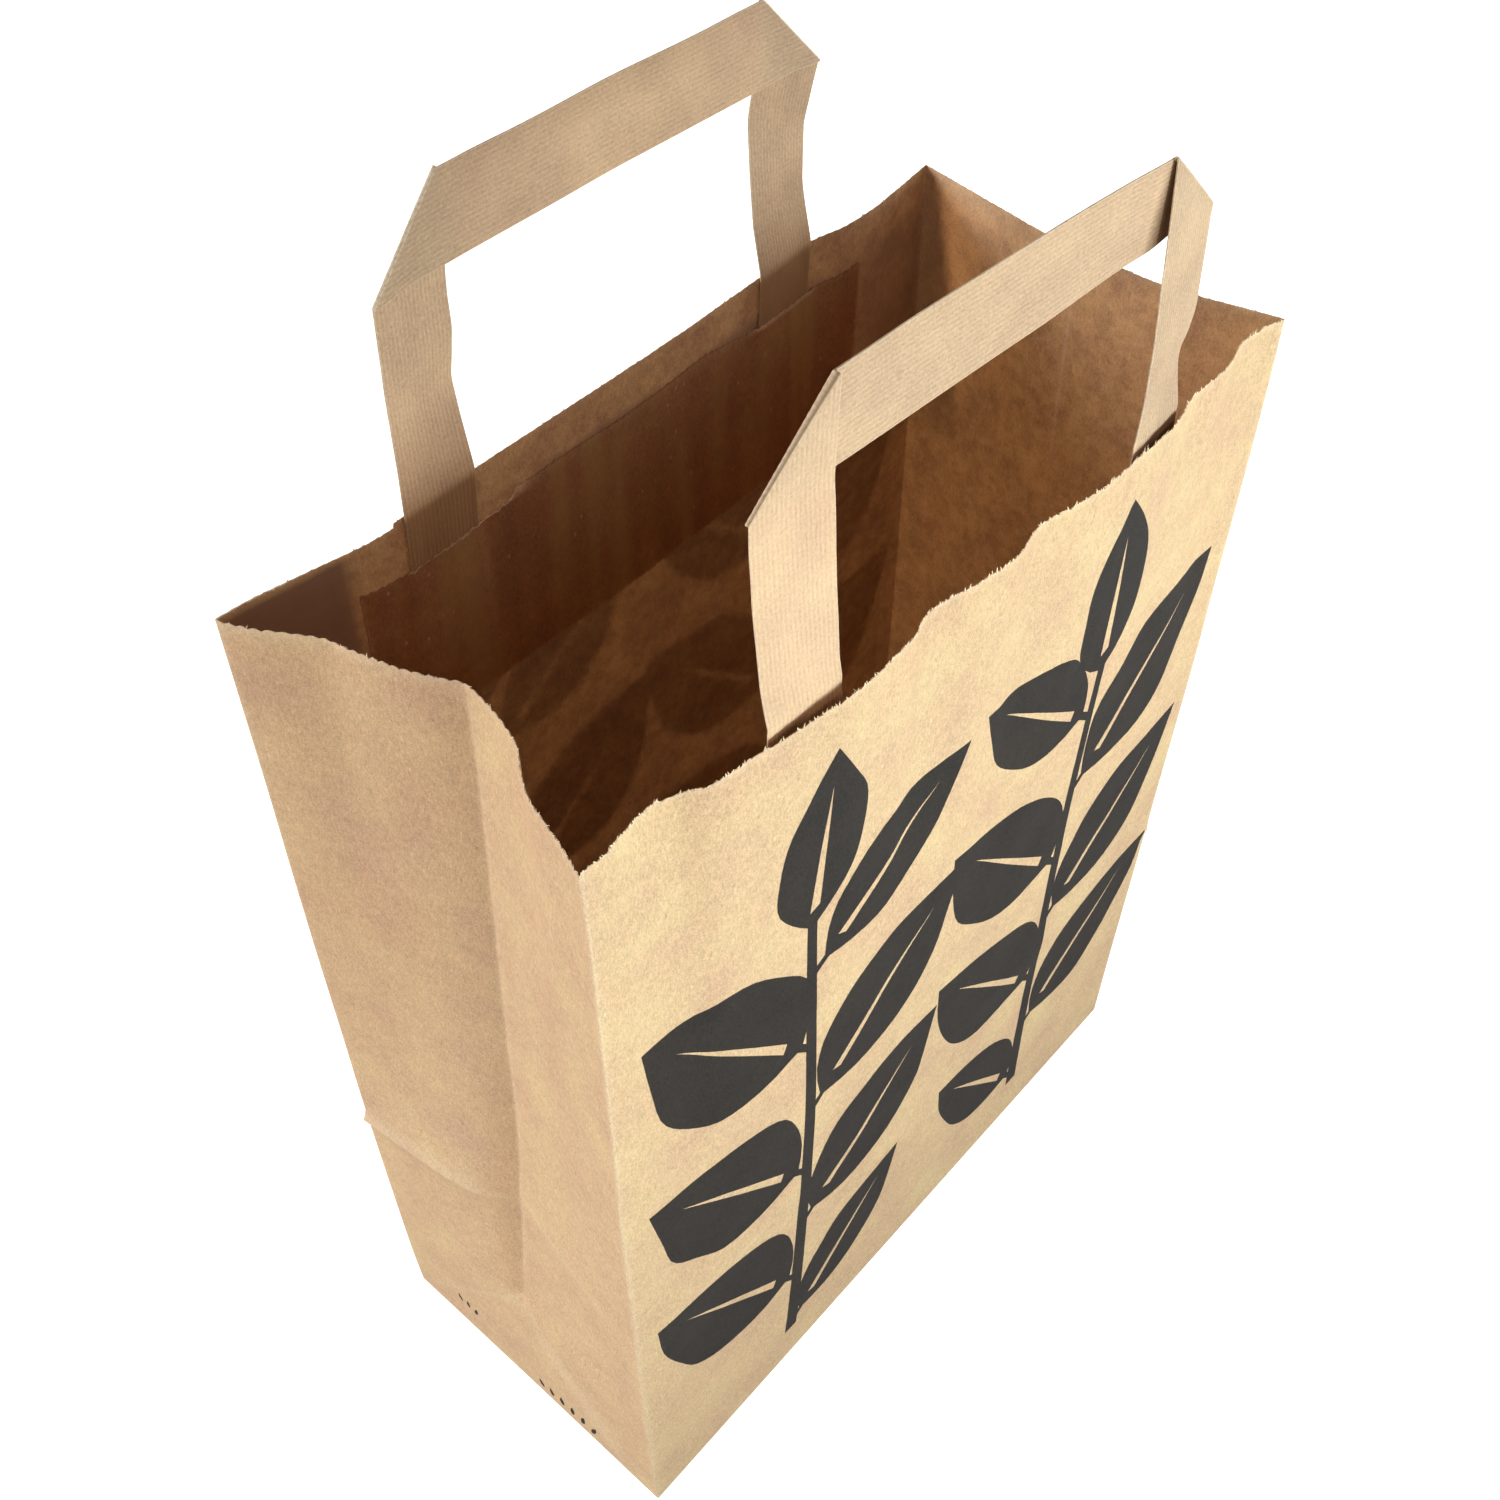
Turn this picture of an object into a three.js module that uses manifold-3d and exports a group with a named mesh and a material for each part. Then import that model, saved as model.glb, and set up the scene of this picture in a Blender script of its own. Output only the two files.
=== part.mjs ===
// Paper carrier bag: one folded kraft sheet with side gussets and a block bottom,
// two flat tape handles folded at 45 degrees, and a reinforcing patch over the ends of each handle.
// Millimetres, +Z up. Origin: centre of the bottom, on the surface the bag stands on.
// The front panel faces -Y, the gussets face -X and +X.

import * as THREE from 'three';
import { mergeVertices } from 'three/addons/utils/BufferGeometryUtils.js';
import Module from 'manifold-3d';

// ---------------------------------------------------------------- driving dimensions
const WIDTH = 220; // front and back panels
const DEPTH = 100; // gussets, and the bottom from front to back
const HEIGHT = 280; // bottom to the cut edge of the mouth
const PAPER = 0.13; // one layer of kraft paper
const TAPE = 0.36; // handle tape, folded to three plies
const TAPE_WIDTH = 19.6;
const HANDLE_TOP = 343.4; // top edge of the handle bars above the floor
const LEG_END = 230; // lower ends of the legs, inside the bag
const PATCH_WIDTH = 161;
const PATCH_LOW = 218;
const PATCH_HIGH = 267;
const GLUE = 0.15; // glue line between two layers
const FOLD_GAP = 0.25; // air left between the layers of a handle's corner fold
const LAP = 22; // lengthwise glued lap, on the inside of the back panel
const FLAP = 64; // length of the bottom flaps
const TOOTH_PITCH = 2.3; // cut edge of the mouth and of the patches
const TOOTH_DEPTH = 0.5;
const FOLD_LINE = 98; // crease left by the bag having been folded flat
const GUSSET_APEX = 55; // where the gusset crease runs out above the bottom
const CREASE_LEFT = 17.9; // how far each gusset is drawn in at the mouth
const CREASE_RIGHT = 6.7;

const HW = WIDTH / 2;
const HD = DEPTH / 2;
const BAR_LOW = HANDLE_TOP - TAPE_WIDTH;
const PATCH_X = PATCH_WIDTH / 2;

// Where the four upright edges end at the mouth: front left, front right, back right, back left.
const MOUTH = [
  [-108.6, -47.0],
  [109.7, -53.0],
  [111.0, 50.3],
  [-111.0, 47.7],
];
const FOOT = [
  [-HW, -HD],
  [HW, -HD],
  [HW, HD],
  [-HW, HD],
];

// Plan of the mouth: how far the cut edge leaves the straight line between two upright edges.
// First column the place along the panel, second the offset in Y (panels) or inwards (gussets).
const FRONT_MOUTH = [
  [-110, 0], [-103, 0.6], [-96, 2.1], [-91, 2.6], [-86, 1.6], [-83, -0.4], [-79.5, -1.9], [-71, -2.9],
  [-64, -3.9], [-54.5, -4.8], [-44.5, -5.5], [-36, -5], [-31, -4.6], [-27, -3.7], [-23.5, -2.4], [-20, -1.9],
  [-16, -2.4], [-10, -3.4], [-4, -4.2], [2, -4.5], [6, -3.9], [10, -2.7], [13.5, -2.25], [18, -2.5],
  [24, -3.6], [30, -4.5], [36, -4.4], [44.5, -3.9], [54.5, -3.5], [61, -3], [65.5, -1.8], [71, -0.5],
  [79, -0.55], [84, -0.4], [90, 0.7], [95, 2.2], [100, 2.4], [105, 2], [110, 0],
];
const BACK_MOUTH = [
  [-110, 0], [-101, -0.4], [-92, -1.7], [-83, -3.2], [-76, -4.2], [-70, -4.2], [-63, -4], [-53, -3.7],
  [-33, -3.6], [-3, -3.7], [17, -3.3], [33, -2.5], [49, -1.7], [62, -0.8], [69, -1.9], [74, -2.8],
  [85.5, -2.9], [95, -1.8], [104, -0.7], [110, 0],
];
const LEFT_MOUTH = [
  [-50, 0], [-42, 0.1], [-36, -0.2], [-31, -0.5], [-27, 0.1], [-23, 1.4], [-20, 2.6], [-13, 2.4],
  [-5, 1.2], [0, 0], [8, -0.5], [15, 0], [23, 1.2], [30, 2.5], [36, 1.6], [43, 0.3], [50, 0],
];
const RIGHT_MOUTH = [
  [-50, 0], [-40, 1.2], [-31, 2.3], [-22, 2.7], [-12, 1.7], [0, 0], [9, 0.9], [25, 0.6], [38, 0.2], [50, 0],
];
const FRONT_BOW = -4; // slow part of the front panel's outward belly at the mouth
const BACK_BOW = -3.2; // the back panel leans inwards at the mouth

// Where the legs are glued to the panels: outer edge, middle and inner edge, measured along the panel.
const FRONT_LEFT_LEG = [-68.6, -58.75, -48.9];
const FRONT_RIGHT_LEG = [64.5, 54.65, 44.8];
const BACK_LEFT_LEG = [-66.6, -56.9, -47.2];
const BACK_RIGHT_LEG = [62.6, 52.9, 43.2];

// ---------------------------------------------------------------- shape of the sheet
const clamp01 = (t) => Math.min(1, Math.max(0, t));
const ease = (t) => { const c = clamp01(t); return c * c * (3 - 2 * c); };
const lerp = (a, b, t) => a + (b - a) * t;

// Smooth curve through a table of knots.
function curveThrough(table) {
  const n = table.length;
  const slope = table.map((p, i) => {
    const a = table[Math.max(0, i - 1)];
    const b = table[Math.min(n - 1, i + 1)];
    return (b[1] - a[1]) / (b[0] - a[0]);
  });
  return (x) => {
    if (x <= table[0][0]) return table[0][1];
    if (x >= table[n - 1][0]) return table[n - 1][1];
    let i = 0;
    while (x > table[i + 1][0]) i++;
    const h = table[i + 1][0] - table[i][0];
    const t = (x - table[i][0]) / h;
    const t2 = t * t;
    const t3 = t2 * t;
    return (
      (2 * t3 - 3 * t2 + 1) * table[i][1] + (t3 - 2 * t2 + t) * h * slope[i] +
      (3 * t2 - 2 * t3) * table[i + 1][1] + (t3 - t2) * h * slope[i + 1]
    );
  };
}
const frontMouth = curveThrough(FRONT_MOUTH);
const backMouth = curveThrough(BACK_MOUTH);
const leftMouth = curveThrough(LEFT_MOUTH);
const rightMouth = curveThrough(RIGHT_MOUTH);

const cockle = (z) => Math.exp(-Math.pow(Math.max(0, HEIGHT - z) / 62, 1.3)); // short waves die out below the glued strip
const belly = (z) => Math.pow(clamp01(z / HEIGHT), 1.3);
const lean = (z) => Math.pow(clamp01(z / HEIGHT), 1.4);
const ridge = (z) => 0.9 * Math.max(0, 1 - Math.abs(z - FOLD_LINE) / 14);
const crease = (z) => 1 - Math.pow(1 - clamp01((z - GUSSET_APEX) / (HEIGHT - GUSSET_APEX)), 1.6);

// Upright edge k at height z.
function corner(k, z) {
  const f = FOOT[k];
  const m = MOUTH[k];
  const q = lean(z);
  const r = ridge(z) * (f[0] < 0 ? 1 : 0.35); // the flat fold shows most on the left
  return [lerp(f[0], m[0], q) + Math.sign(f[0]) * r, lerp(f[1], m[1], q) + Math.sign(f[1]) * r];
}

// Middle of the sheet on each panel; u runs along X on front and back, along Y on the gussets.
function onFront(u, z) {
  const a = corner(0, z);
  const b = corner(1, z);
  const s = (u + HW) / WIDTH;
  const bow = FRONT_BOW * Math.sin(Math.PI * s);
  return [lerp(a[0], b[0], s), lerp(a[1], b[1], s) + bow * belly(z) + (frontMouth(u) - bow) * cockle(z), z];
}
function onBack(u, z) {
  const a = corner(3, z);
  const b = corner(2, z);
  const s = (u + HW) / WIDTH;
  const bow = BACK_BOW * Math.sin(Math.PI * s);
  return [lerp(a[0], b[0], s), lerp(a[1], b[1], s) + bow * belly(z) + (backMouth(u) - bow) * cockle(z), z];
}
function drawnIn(u, z, depth, mouth) {
  const fold = depth * crease(z) * (1 - Math.abs(u) / HD);
  const foot = 1.6 * Math.max(0, 1 - Math.abs(u) / HD - z / GUSSET_APEX);
  return fold + mouth(u) * cockle(z) - foot;
}
function onLeft(u, z) {
  const a = corner(0, z);
  const b = corner(3, z);
  const s = (u + HD) / DEPTH;
  return [lerp(a[0], b[0], s) + drawnIn(u, z, CREASE_LEFT, leftMouth), lerp(a[1], b[1], s), z];
}
function onRight(u, z) {
  const a = corner(1, z);
  const b = corner(2, z);
  const s = (u + HD) / DEPTH;
  return [lerp(a[0], b[0], s) - drawnIn(u, z, CREASE_RIGHT, rightMouth), lerp(a[1], b[1], s), z];
}

// Height of the cut edge; the knife left a small step in the back panel.
const cutEdge = (panel, u) => (panel === onBack && u < -70 ? HEIGHT - lerp(1.1, 0, (-70 - u) / 40) : HEIGHT);

// ---------------------------------------------------------------- meshing helpers
class Faces {
  constructor() { this.points = []; this.tris = []; }
  add(p) { this.points.push(p[0], p[1], p[2]); return this.points.length / 3 - 1; }
  tri(a, b, c) { this.tris.push(a, b, c); }
  // A run of points along one edge joined to one longer run: mark[i] is where point i of the short run meets the long one.
  comb(short, long, mark, flip) {
    const put = (a, b, c) => (flip ? this.tri(a, c, b) : this.tri(a, b, c));
    for (let i = 0; i + 1 < mark.length; i++) {
      const a = mark[i];
      const b = mark[i + 1];
      const m = Math.floor((a + b) / 2);
      const p = short[i % short.length];
      const q = short[(i + 1) % short.length];
      for (let k = a; k < m; k++) put(p, long[(k + 1) % long.length], long[k % long.length]);
      put(p, q, long[m % long.length]);
      for (let k = m; k < b; k++) put(q, long[(k + 1) % long.length], long[k % long.length]);
    }
  }
  geometry() {
    const g = new THREE.BufferGeometry();
    g.setAttribute('position', new THREE.Float32BufferAttribute(this.points, 3));
    g.setIndex(this.tris);
    return g;
  }
}
const sub = (a, b) => [a[0] - b[0], a[1] - b[1], a[2] - b[2]];
const cross = (a, b) => [a[1] * b[2] - a[2] * b[1], a[2] * b[0] - a[0] * b[2], a[0] * b[1] - a[1] * b[0]];
const unit = (a) => { const l = Math.hypot(...a); return [a[0] / l, a[1] / l, a[2] / l]; };
const along = (p, n, d) => [p[0] + n[0] * d, p[1] + n[1] * d, p[2] + n[2] * d];

// ---------------------------------------------------------------- bag body
const FRONT_U = [
  -110, -103, -96, -91, -86, -83, -PATCH_X, -75, ...FRONT_LEFT_LEG, -42, -36, -30, -25, -20, -14, -8, -2,
  3, 8, 13.5, 19, 25, 31, 38, ...FRONT_RIGHT_LEG.slice().reverse(), 71, PATCH_X, 88, 95, 103, 110,
];
const BACK_U = [
  -110, -99, -HW + LAP - 0.3, -HW + LAP, -PATCH_X, -76, -70, ...BACK_LEFT_LEG, -30, -15, 0, 15, 30,
  ...BACK_RIGHT_LEG.slice().reverse(), 68.5, 74, PATCH_X, 86, 93, 101, 110,
];
const SIDE_U = [-50, -40, -30, -20, -10, 0, 10, 20, 30, 40, 50];
const ROWS = [0, 11, 22, 33, 44, 55, 70, 84, 98, 112, 130, 152, 175, 197, PATCH_LOW, LEG_END, 242, 255, PATCH_HIGH, 277];

// The ring of columns, anticlockwise from the front left edge.
const ring = [
  ...FRONT_U.slice(0, -1).map((u) => ({ panel: onFront, u })),
  ...SIDE_U.slice(0, -1).map((u) => ({ panel: onRight, u })),
  ...BACK_U.slice(1).reverse().map((u) => ({ panel: onBack, u })),
  ...SIDE_U.slice(1).reverse().map((u) => ({ panel: onLeft, u })),
];
const nextU = (i) => {
  const b = ring[(i + 1) % ring.length];
  const a = ring[i];
  if (a.panel === b.panel) return b.u;
  return { 0: HW, 1: HD, 2: -HW, 3: -HD }[[onFront, onRight, onBack, onLeft].indexOf(a.panel)];
};
// On the lapped strip the sheet is two layers thick, the second one inside.
const inner = (c) => PAPER / 2 + (c.panel === onBack && c.u < -HW + LAP - 0.1 ? PAPER : 0);

function bagBody() {
  const f = new Faces();
  const n = ring.length;
  const mid = ROWS.map((z) => ring.map((c) => c.panel(c.u, z)));
  const wall = (side) =>
    mid.map((row, j) =>
      row.map((p, i) => {
        const across = sub(row[(i + 1) % n], row[(i + n - 1) % n]);
        const up = sub(mid[Math.min(j + 1, mid.length - 1)][i], mid[Math.max(j - 1, 0)][i]);
        const out = unit(cross(across, up));
        const q = along(p, out, side > 0 ? PAPER / 2 : -inner(ring[i]));
        q[2] = p[2];
        return f.add(q);
      })
    );
  const outside = wall(1);
  const inside = wall(-1);

  // Toothed cut edge of the mouth.
  const edge = [];
  const mark = [0];
  for (let i = 0; i < n; i++) {
    const a = ring[i].u;
    const b = nextU(i);
    const teeth = Math.max(1, Math.round(Math.abs(b - a) / TOOTH_PITCH));
    for (let k = 0; k < 2 * teeth; k++) {
      const u = lerp(a, b, k / (2 * teeth));
      const z = cutEdge(ring[i].panel, u) - (k % 2 ? 0 : TOOTH_DEPTH);
      edge.push({ p: ring[i].panel(u, z), c: ring[i] });
    }
    mark.push(edge.length);
  }
  const rim = (side) =>
    edge.map((e, i) => {
      const across = sub(edge[(i + 1) % edge.length].p, edge[(i + edge.length - 1) % edge.length].p);
      const out = unit(cross([across[0], across[1], 0], [0, 0, 1]));
      return f.add(along(e.p, out, side > 0 ? PAPER / 2 : -inner(e.c)));
    });
  const rimOut = rim(1);
  const rimIn = rim(-1);

  // Quads split so that an edge runs along the slanting creases above the bottom.
  const second = ring.map((c) => (c.panel === onRight && c.u >= 0) || (c.panel === onLeft && c.u <= 0));
  const skin = (rows, flip) => {
    for (let j = 0; j + 1 < rows.length; j++)
      for (let i = 0; i < n; i++) {
        const [a, b] = [rows[j][i], rows[j][(i + 1) % n]];
        const [d, c] = [rows[j + 1][i], rows[j + 1][(i + 1) % n]];
        const two = second[i] ? [[a, b, d], [b, c, d]] : [[a, b, c], [a, c, d]];
        for (const [p, q, r] of two) flip ? f.tri(p, r, q) : f.tri(p, q, r);
      }
  };
  skin(outside, false);
  skin(inside, true);
  f.comb(outside[outside.length - 1], rimOut, mark, false);
  f.comb(inside[inside.length - 1], rimIn, mark, true);
  for (let i = 0; i < edge.length; i++) {
    const k = (i + 1) % edge.length;
    f.tri(rimOut[i], rimOut[k], rimIn[k]);
    f.tri(rimOut[i], rimIn[k], rimIn[i]);
  }
  for (let i = 0; i < n; i++) {
    const k = (i + 1) % n;
    f.tri(outside[0][i], inside[0][k], outside[0][k]);
    f.tri(outside[0][i], inside[0][i], inside[0][k]);
  }
  return f.geometry();
}

// ---------------------------------------------------------------- block bottom
// Flaps as they are glued: back flap outermost, front flap on it, gusset flaps inside.
function plate(outline, low, high) {
  const shape = new THREE.Shape(outline.map((p) => new THREE.Vector2(p[0], p[1])));
  const g = new THREE.ExtrudeGeometry(shape, { depth: high - low, bevelEnabled: false });
  g.translate(0, 0, low);
  return g;
}
function bottomFlaps() {
  const e = 0.02;
  const reach = HW - FLAP;
  const tip = HD - FLAP;
  const left = SIDE_U.map((u) => onLeft(u, 0)).reverse();
  const right = SIDE_U.map((u) => onRight(u, 0));
  const open = -tip; // free edge of the front flap, inside
  const cut = HW - (HD - open);
  return [
    plate([[-HW, HD], [-reach, tip], [reach, tip], [HW, HD]], 0, PAPER + e),
    plate([[-HW, -HD], [HW, -HD], [reach, -tip], [-reach, -tip]], PAPER, 2 * PAPER + e),
    plate([[-HW, HD], [-cut, open - 0.5], [-reach, open - 0.5], [-reach, HD]], PAPER / 2, 2 * PAPER + e),
    plate([[HW, HD], [reach, HD], [reach, open - 0.5], [cut, open - 0.5]], PAPER / 2, 2 * PAPER + e),
    plate([...left, [-reach, -HD], [-reach, HD]], 2 * PAPER, 3 * PAPER),
    plate([...right, [reach, HD], [reach, -HD]], 2 * PAPER, 3 * PAPER),
  ];
}

const wasm = await Module();
wasm.setup();
function solid(geometry) {
  const g = geometry.clone();
  g.deleteAttribute('normal');
  g.deleteAttribute('uv');
  const m = mergeVertices(g, 1e-4);
  return new wasm.Manifold(
    new wasm.Mesh({
      numProp: 3,
      vertProperties: new Float32Array(m.attributes.position.array),
      triVerts: new Uint32Array(m.index.array),
    })
  );
}
function geometryOf(manifold) {
  const m = manifold.getMesh();
  const g = new THREE.BufferGeometry();
  g.setAttribute('position', new THREE.BufferAttribute(new Float32Array(m.vertProperties), 3));
  g.setIndex(new THREE.BufferAttribute(new Uint32Array(m.triVerts), 1));
  return g;
}
function foldedBag() {
  let bag = solid(bagBody());
  for (const p of bottomFlaps()) bag = bag.add(solid(p));
  return geometryOf(bag);
}

// ---------------------------------------------------------------- strips of paper with thickness
// grid[j][i] are points on the middle of the strip, j along it and i across it.
function strip(grid, thickness) {
  const f = new Faces();
  const rows = grid.length;
  const cols = grid[0].length;
  const face = (side) =>
    grid.map((row, j) =>
      row.map((p, i) => {
        const across = sub(row[Math.min(i + 1, cols - 1)], row[Math.max(i - 1, 0)]);
        const on = sub(grid[Math.min(j + 1, rows - 1)][i], grid[Math.max(j - 1, 0)][i]);
        return f.add(along(p, unit(cross(across, on)), (side * thickness) / 2));
      })
    );
  const top = face(1);
  const low = face(-1);
  for (let j = 0; j + 1 < rows; j++)
    for (let i = 0; i + 1 < cols; i++) {
      f.tri(top[j][i], top[j][i + 1], top[j + 1][i + 1]);
      f.tri(top[j][i], top[j + 1][i + 1], top[j + 1][i]);
      f.tri(low[j][i], low[j + 1][i + 1], low[j][i + 1]);
      f.tri(low[j][i], low[j + 1][i], low[j + 1][i + 1]);
    }
  const side = (a, b, c, d) => { f.tri(a, b, c); f.tri(a, c, d); };
  for (let j = 0; j + 1 < rows; j++) {
    side(top[j][0], top[j + 1][0], low[j + 1][0], low[j][0]);
    side(top[j + 1][cols - 1], top[j][cols - 1], low[j][cols - 1], low[j + 1][cols - 1]);
  }
  for (let i = 0; i + 1 < cols; i++) {
    side(top[0][i + 1], top[0][i], low[0][i], low[0][i + 1]);
    side(top[rows - 1][i], top[rows - 1][i + 1], low[rows - 1][i + 1], low[rows - 1][i]);
  }
  return f.geometry();
}

// Middle of a panel's sheet between its columns and rows.
function panelY(panel, columns, u, z) {
  let i = 0;
  while (i + 2 < columns.length && u > columns[i + 1]) i++;
  let j = 0;
  while (j + 2 < ROWS.length && z > ROWS[j + 1]) j++;
  const s = (u - columns[i]) / (columns[i + 1] - columns[i]);
  const t = Math.min(1, (z - ROWS[j]) / (ROWS[j + 1] - ROWS[j]));
  const at = (a, b) => panel(columns[a], ROWS[b])[1];
  return lerp(lerp(at(i, j), at(i + 1, j), s), lerp(at(i, j + 1), at(i + 1, j + 1), s), t);
}
const panelX = (panel, u, z) => panel(u, z)[0];

// ---------------------------------------------------------------- handles
// One leg above the mouth: height and outer edge, then height and how far the outer and the inner edge leave
// the leg's plane, counted towards the inside of the bag. The inner edge lies one tape width nearer the middle.
const LEGS = {
  frontLeft: { side: -1, glued: FRONT_LEFT_LEG, open: 0.04, edge: [[281, -67.1], [303, -65.4], [BAR_LOW, -63.8]], twist: [[281, 0, 0], [BAR_LOW, 0, 0]] },
  frontRight: {
    side: 1, glued: FRONT_RIGHT_LEG, open: 0.2, edge: [[281, 64.6], [300, 64.6], [BAR_LOW, 66.2]],
    twist: [[281, 0, 0], [286, 1.6, 0], [292, 4, -0.3], [300, 2.4, -0.3], [308, 0.9, 0], [318, 0, 0]],
  },
  backLeft: {
    side: -1, glued: BACK_LEFT_LEG, open: 0.04, edge: [[281, -67.2], [303, -65.2], [BAR_LOW, -63.8]],
    twist: [[281, 0, 0], [290, 0, -1], [300, 0.2, -2.2], [310, 0, -1.5], [322, 0, 0]],
  },
  backRight: {
    side: 1, glued: BACK_RIGHT_LEG, open: 0.06, edge: [[281, 63.2], [298, 61.4], [310, 61.8], [BAR_LOW, 64.8]],
    twist: [[281, 0, 0], [292, -0.6, 0], [303, -1.3, 0.3], [313, -1, 0], [322, 0, 0]],
  },
};
function between(table, z, k) {
  if (z <= table[0][0]) return table[0][k];
  for (let i = 0; i + 1 < table.length; i++)
    if (z <= table[i + 1][0]) return lerp(table[i][k], table[i + 1][k], (z - table[i][0]) / (table[i + 1][0] - table[i][0]));
  return table[table.length - 1][k];
}

// The tape runs up one leg, turns over in a 45 degree fold, runs along the bar and comes down again.
// `inward` is the direction in Y from the panel to the inside of the bag; legs lie outside the bar.
function handle({ panel, inward, left, right, barLeft, barRight, barBelly }) {
  const places = [0, 0.5, 1];
  const off = PAPER / 2 + GLUE + TAPE / 2;
  const top = (l) => between(l.edge, BAR_LOW, 1);
  const ends = [top(left), top(right)];
  const barY = (x) => {
    const s = (x - ends[0]) / (ends[1] - ends[0]);
    return lerp(barLeft, barRight, s) + barBelly * Math.sin(Math.PI * clamp01(s));
  };
  const legX = (l, z, c) => between(l.edge, z, 1) - l.side * TAPE_WIDTH * c;
  // Distance from the fold line, and the space between the layers there.
  const below = (l, x, z) => Math.max(0, (l.side * (top(l) - x) - (z - BAR_LOW)) / Math.SQRT2);
  const layers = (l, x, z) => TAPE + FOLD_GAP + l.open * Math.min(14, below(l, x, z));
  const onPanel = (l, z, i) => {
    const p = panel(l.glued[i], z);
    return [p[0], p[1] + inward * off, z];
  };
  const legPoint = (l, z, i) => {
    if (z <= 277) return onPanel(l, z, i);
    const x = legX(l, z, places[i]);
    const turn = lerp(between(l.twist, z, 1), between(l.twist, z, 2), places[i]);
    const free = barY(x) - inward * layers(l, x, z);
    return [x, lerp(onPanel(l, HEIGHT, i)[1], free, ease((z - 281) / 38)) + inward * turn, z];
  };
  const legRows = [LEG_END, 242, 255, PATCH_HIGH, 277, 281, 286, 292, 296, 300, 304, 308, 313];
  const leg = (l) => {
    const rows = legRows.map((z) => places.map((c, i) => legPoint(l, z, i)));
    const last = legRows[legRows.length - 1];
    for (const t of [0.34, 0.67])
      rows.push(places.map((c, i) => legPoint(l, lerp(last, BAR_LOW + TAPE_WIDTH * c, t), i)));
    return rows;
  };
  const bend = (l) => [0, 60, 120, 180].map((deg) => places.map((c) => {
    const a = (deg * Math.PI) / 180;
    const x = top(l) - l.side * TAPE_WIDTH * c;
    const out = (((TAPE + FOLD_GAP) / 2) * Math.sin(a)) / Math.SQRT2;
    return [
      x + l.side * out,
      barY(x) - (inward * (TAPE + FOLD_GAP) * (1 + Math.cos(a))) / 2,
      BAR_LOW + TAPE_WIDTH * c + out,
    ];
  }));
  const bar = (x, c) => [x, barY(x), BAR_LOW + TAPE_WIDTH * c];
  const grid = [...leg(left), ...bend(left)];
  for (const t of [0.34, 0.67]) grid.push(places.map((c) => bar(lerp(ends[0] + TAPE_WIDTH * c, -30, t), c)));
  for (const x of [-30, -15, 0, 15, 30]) grid.push(places.map((c) => bar(x, c)));
  for (const t of [0.33, 0.66]) grid.push(places.map((c) => bar(lerp(30, ends[1] - TAPE_WIDTH * c, t), c)));
  grid.push(...bend(right).reverse(), ...leg(right).reverse());
  return strip(grid, TAPE);
}

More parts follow.
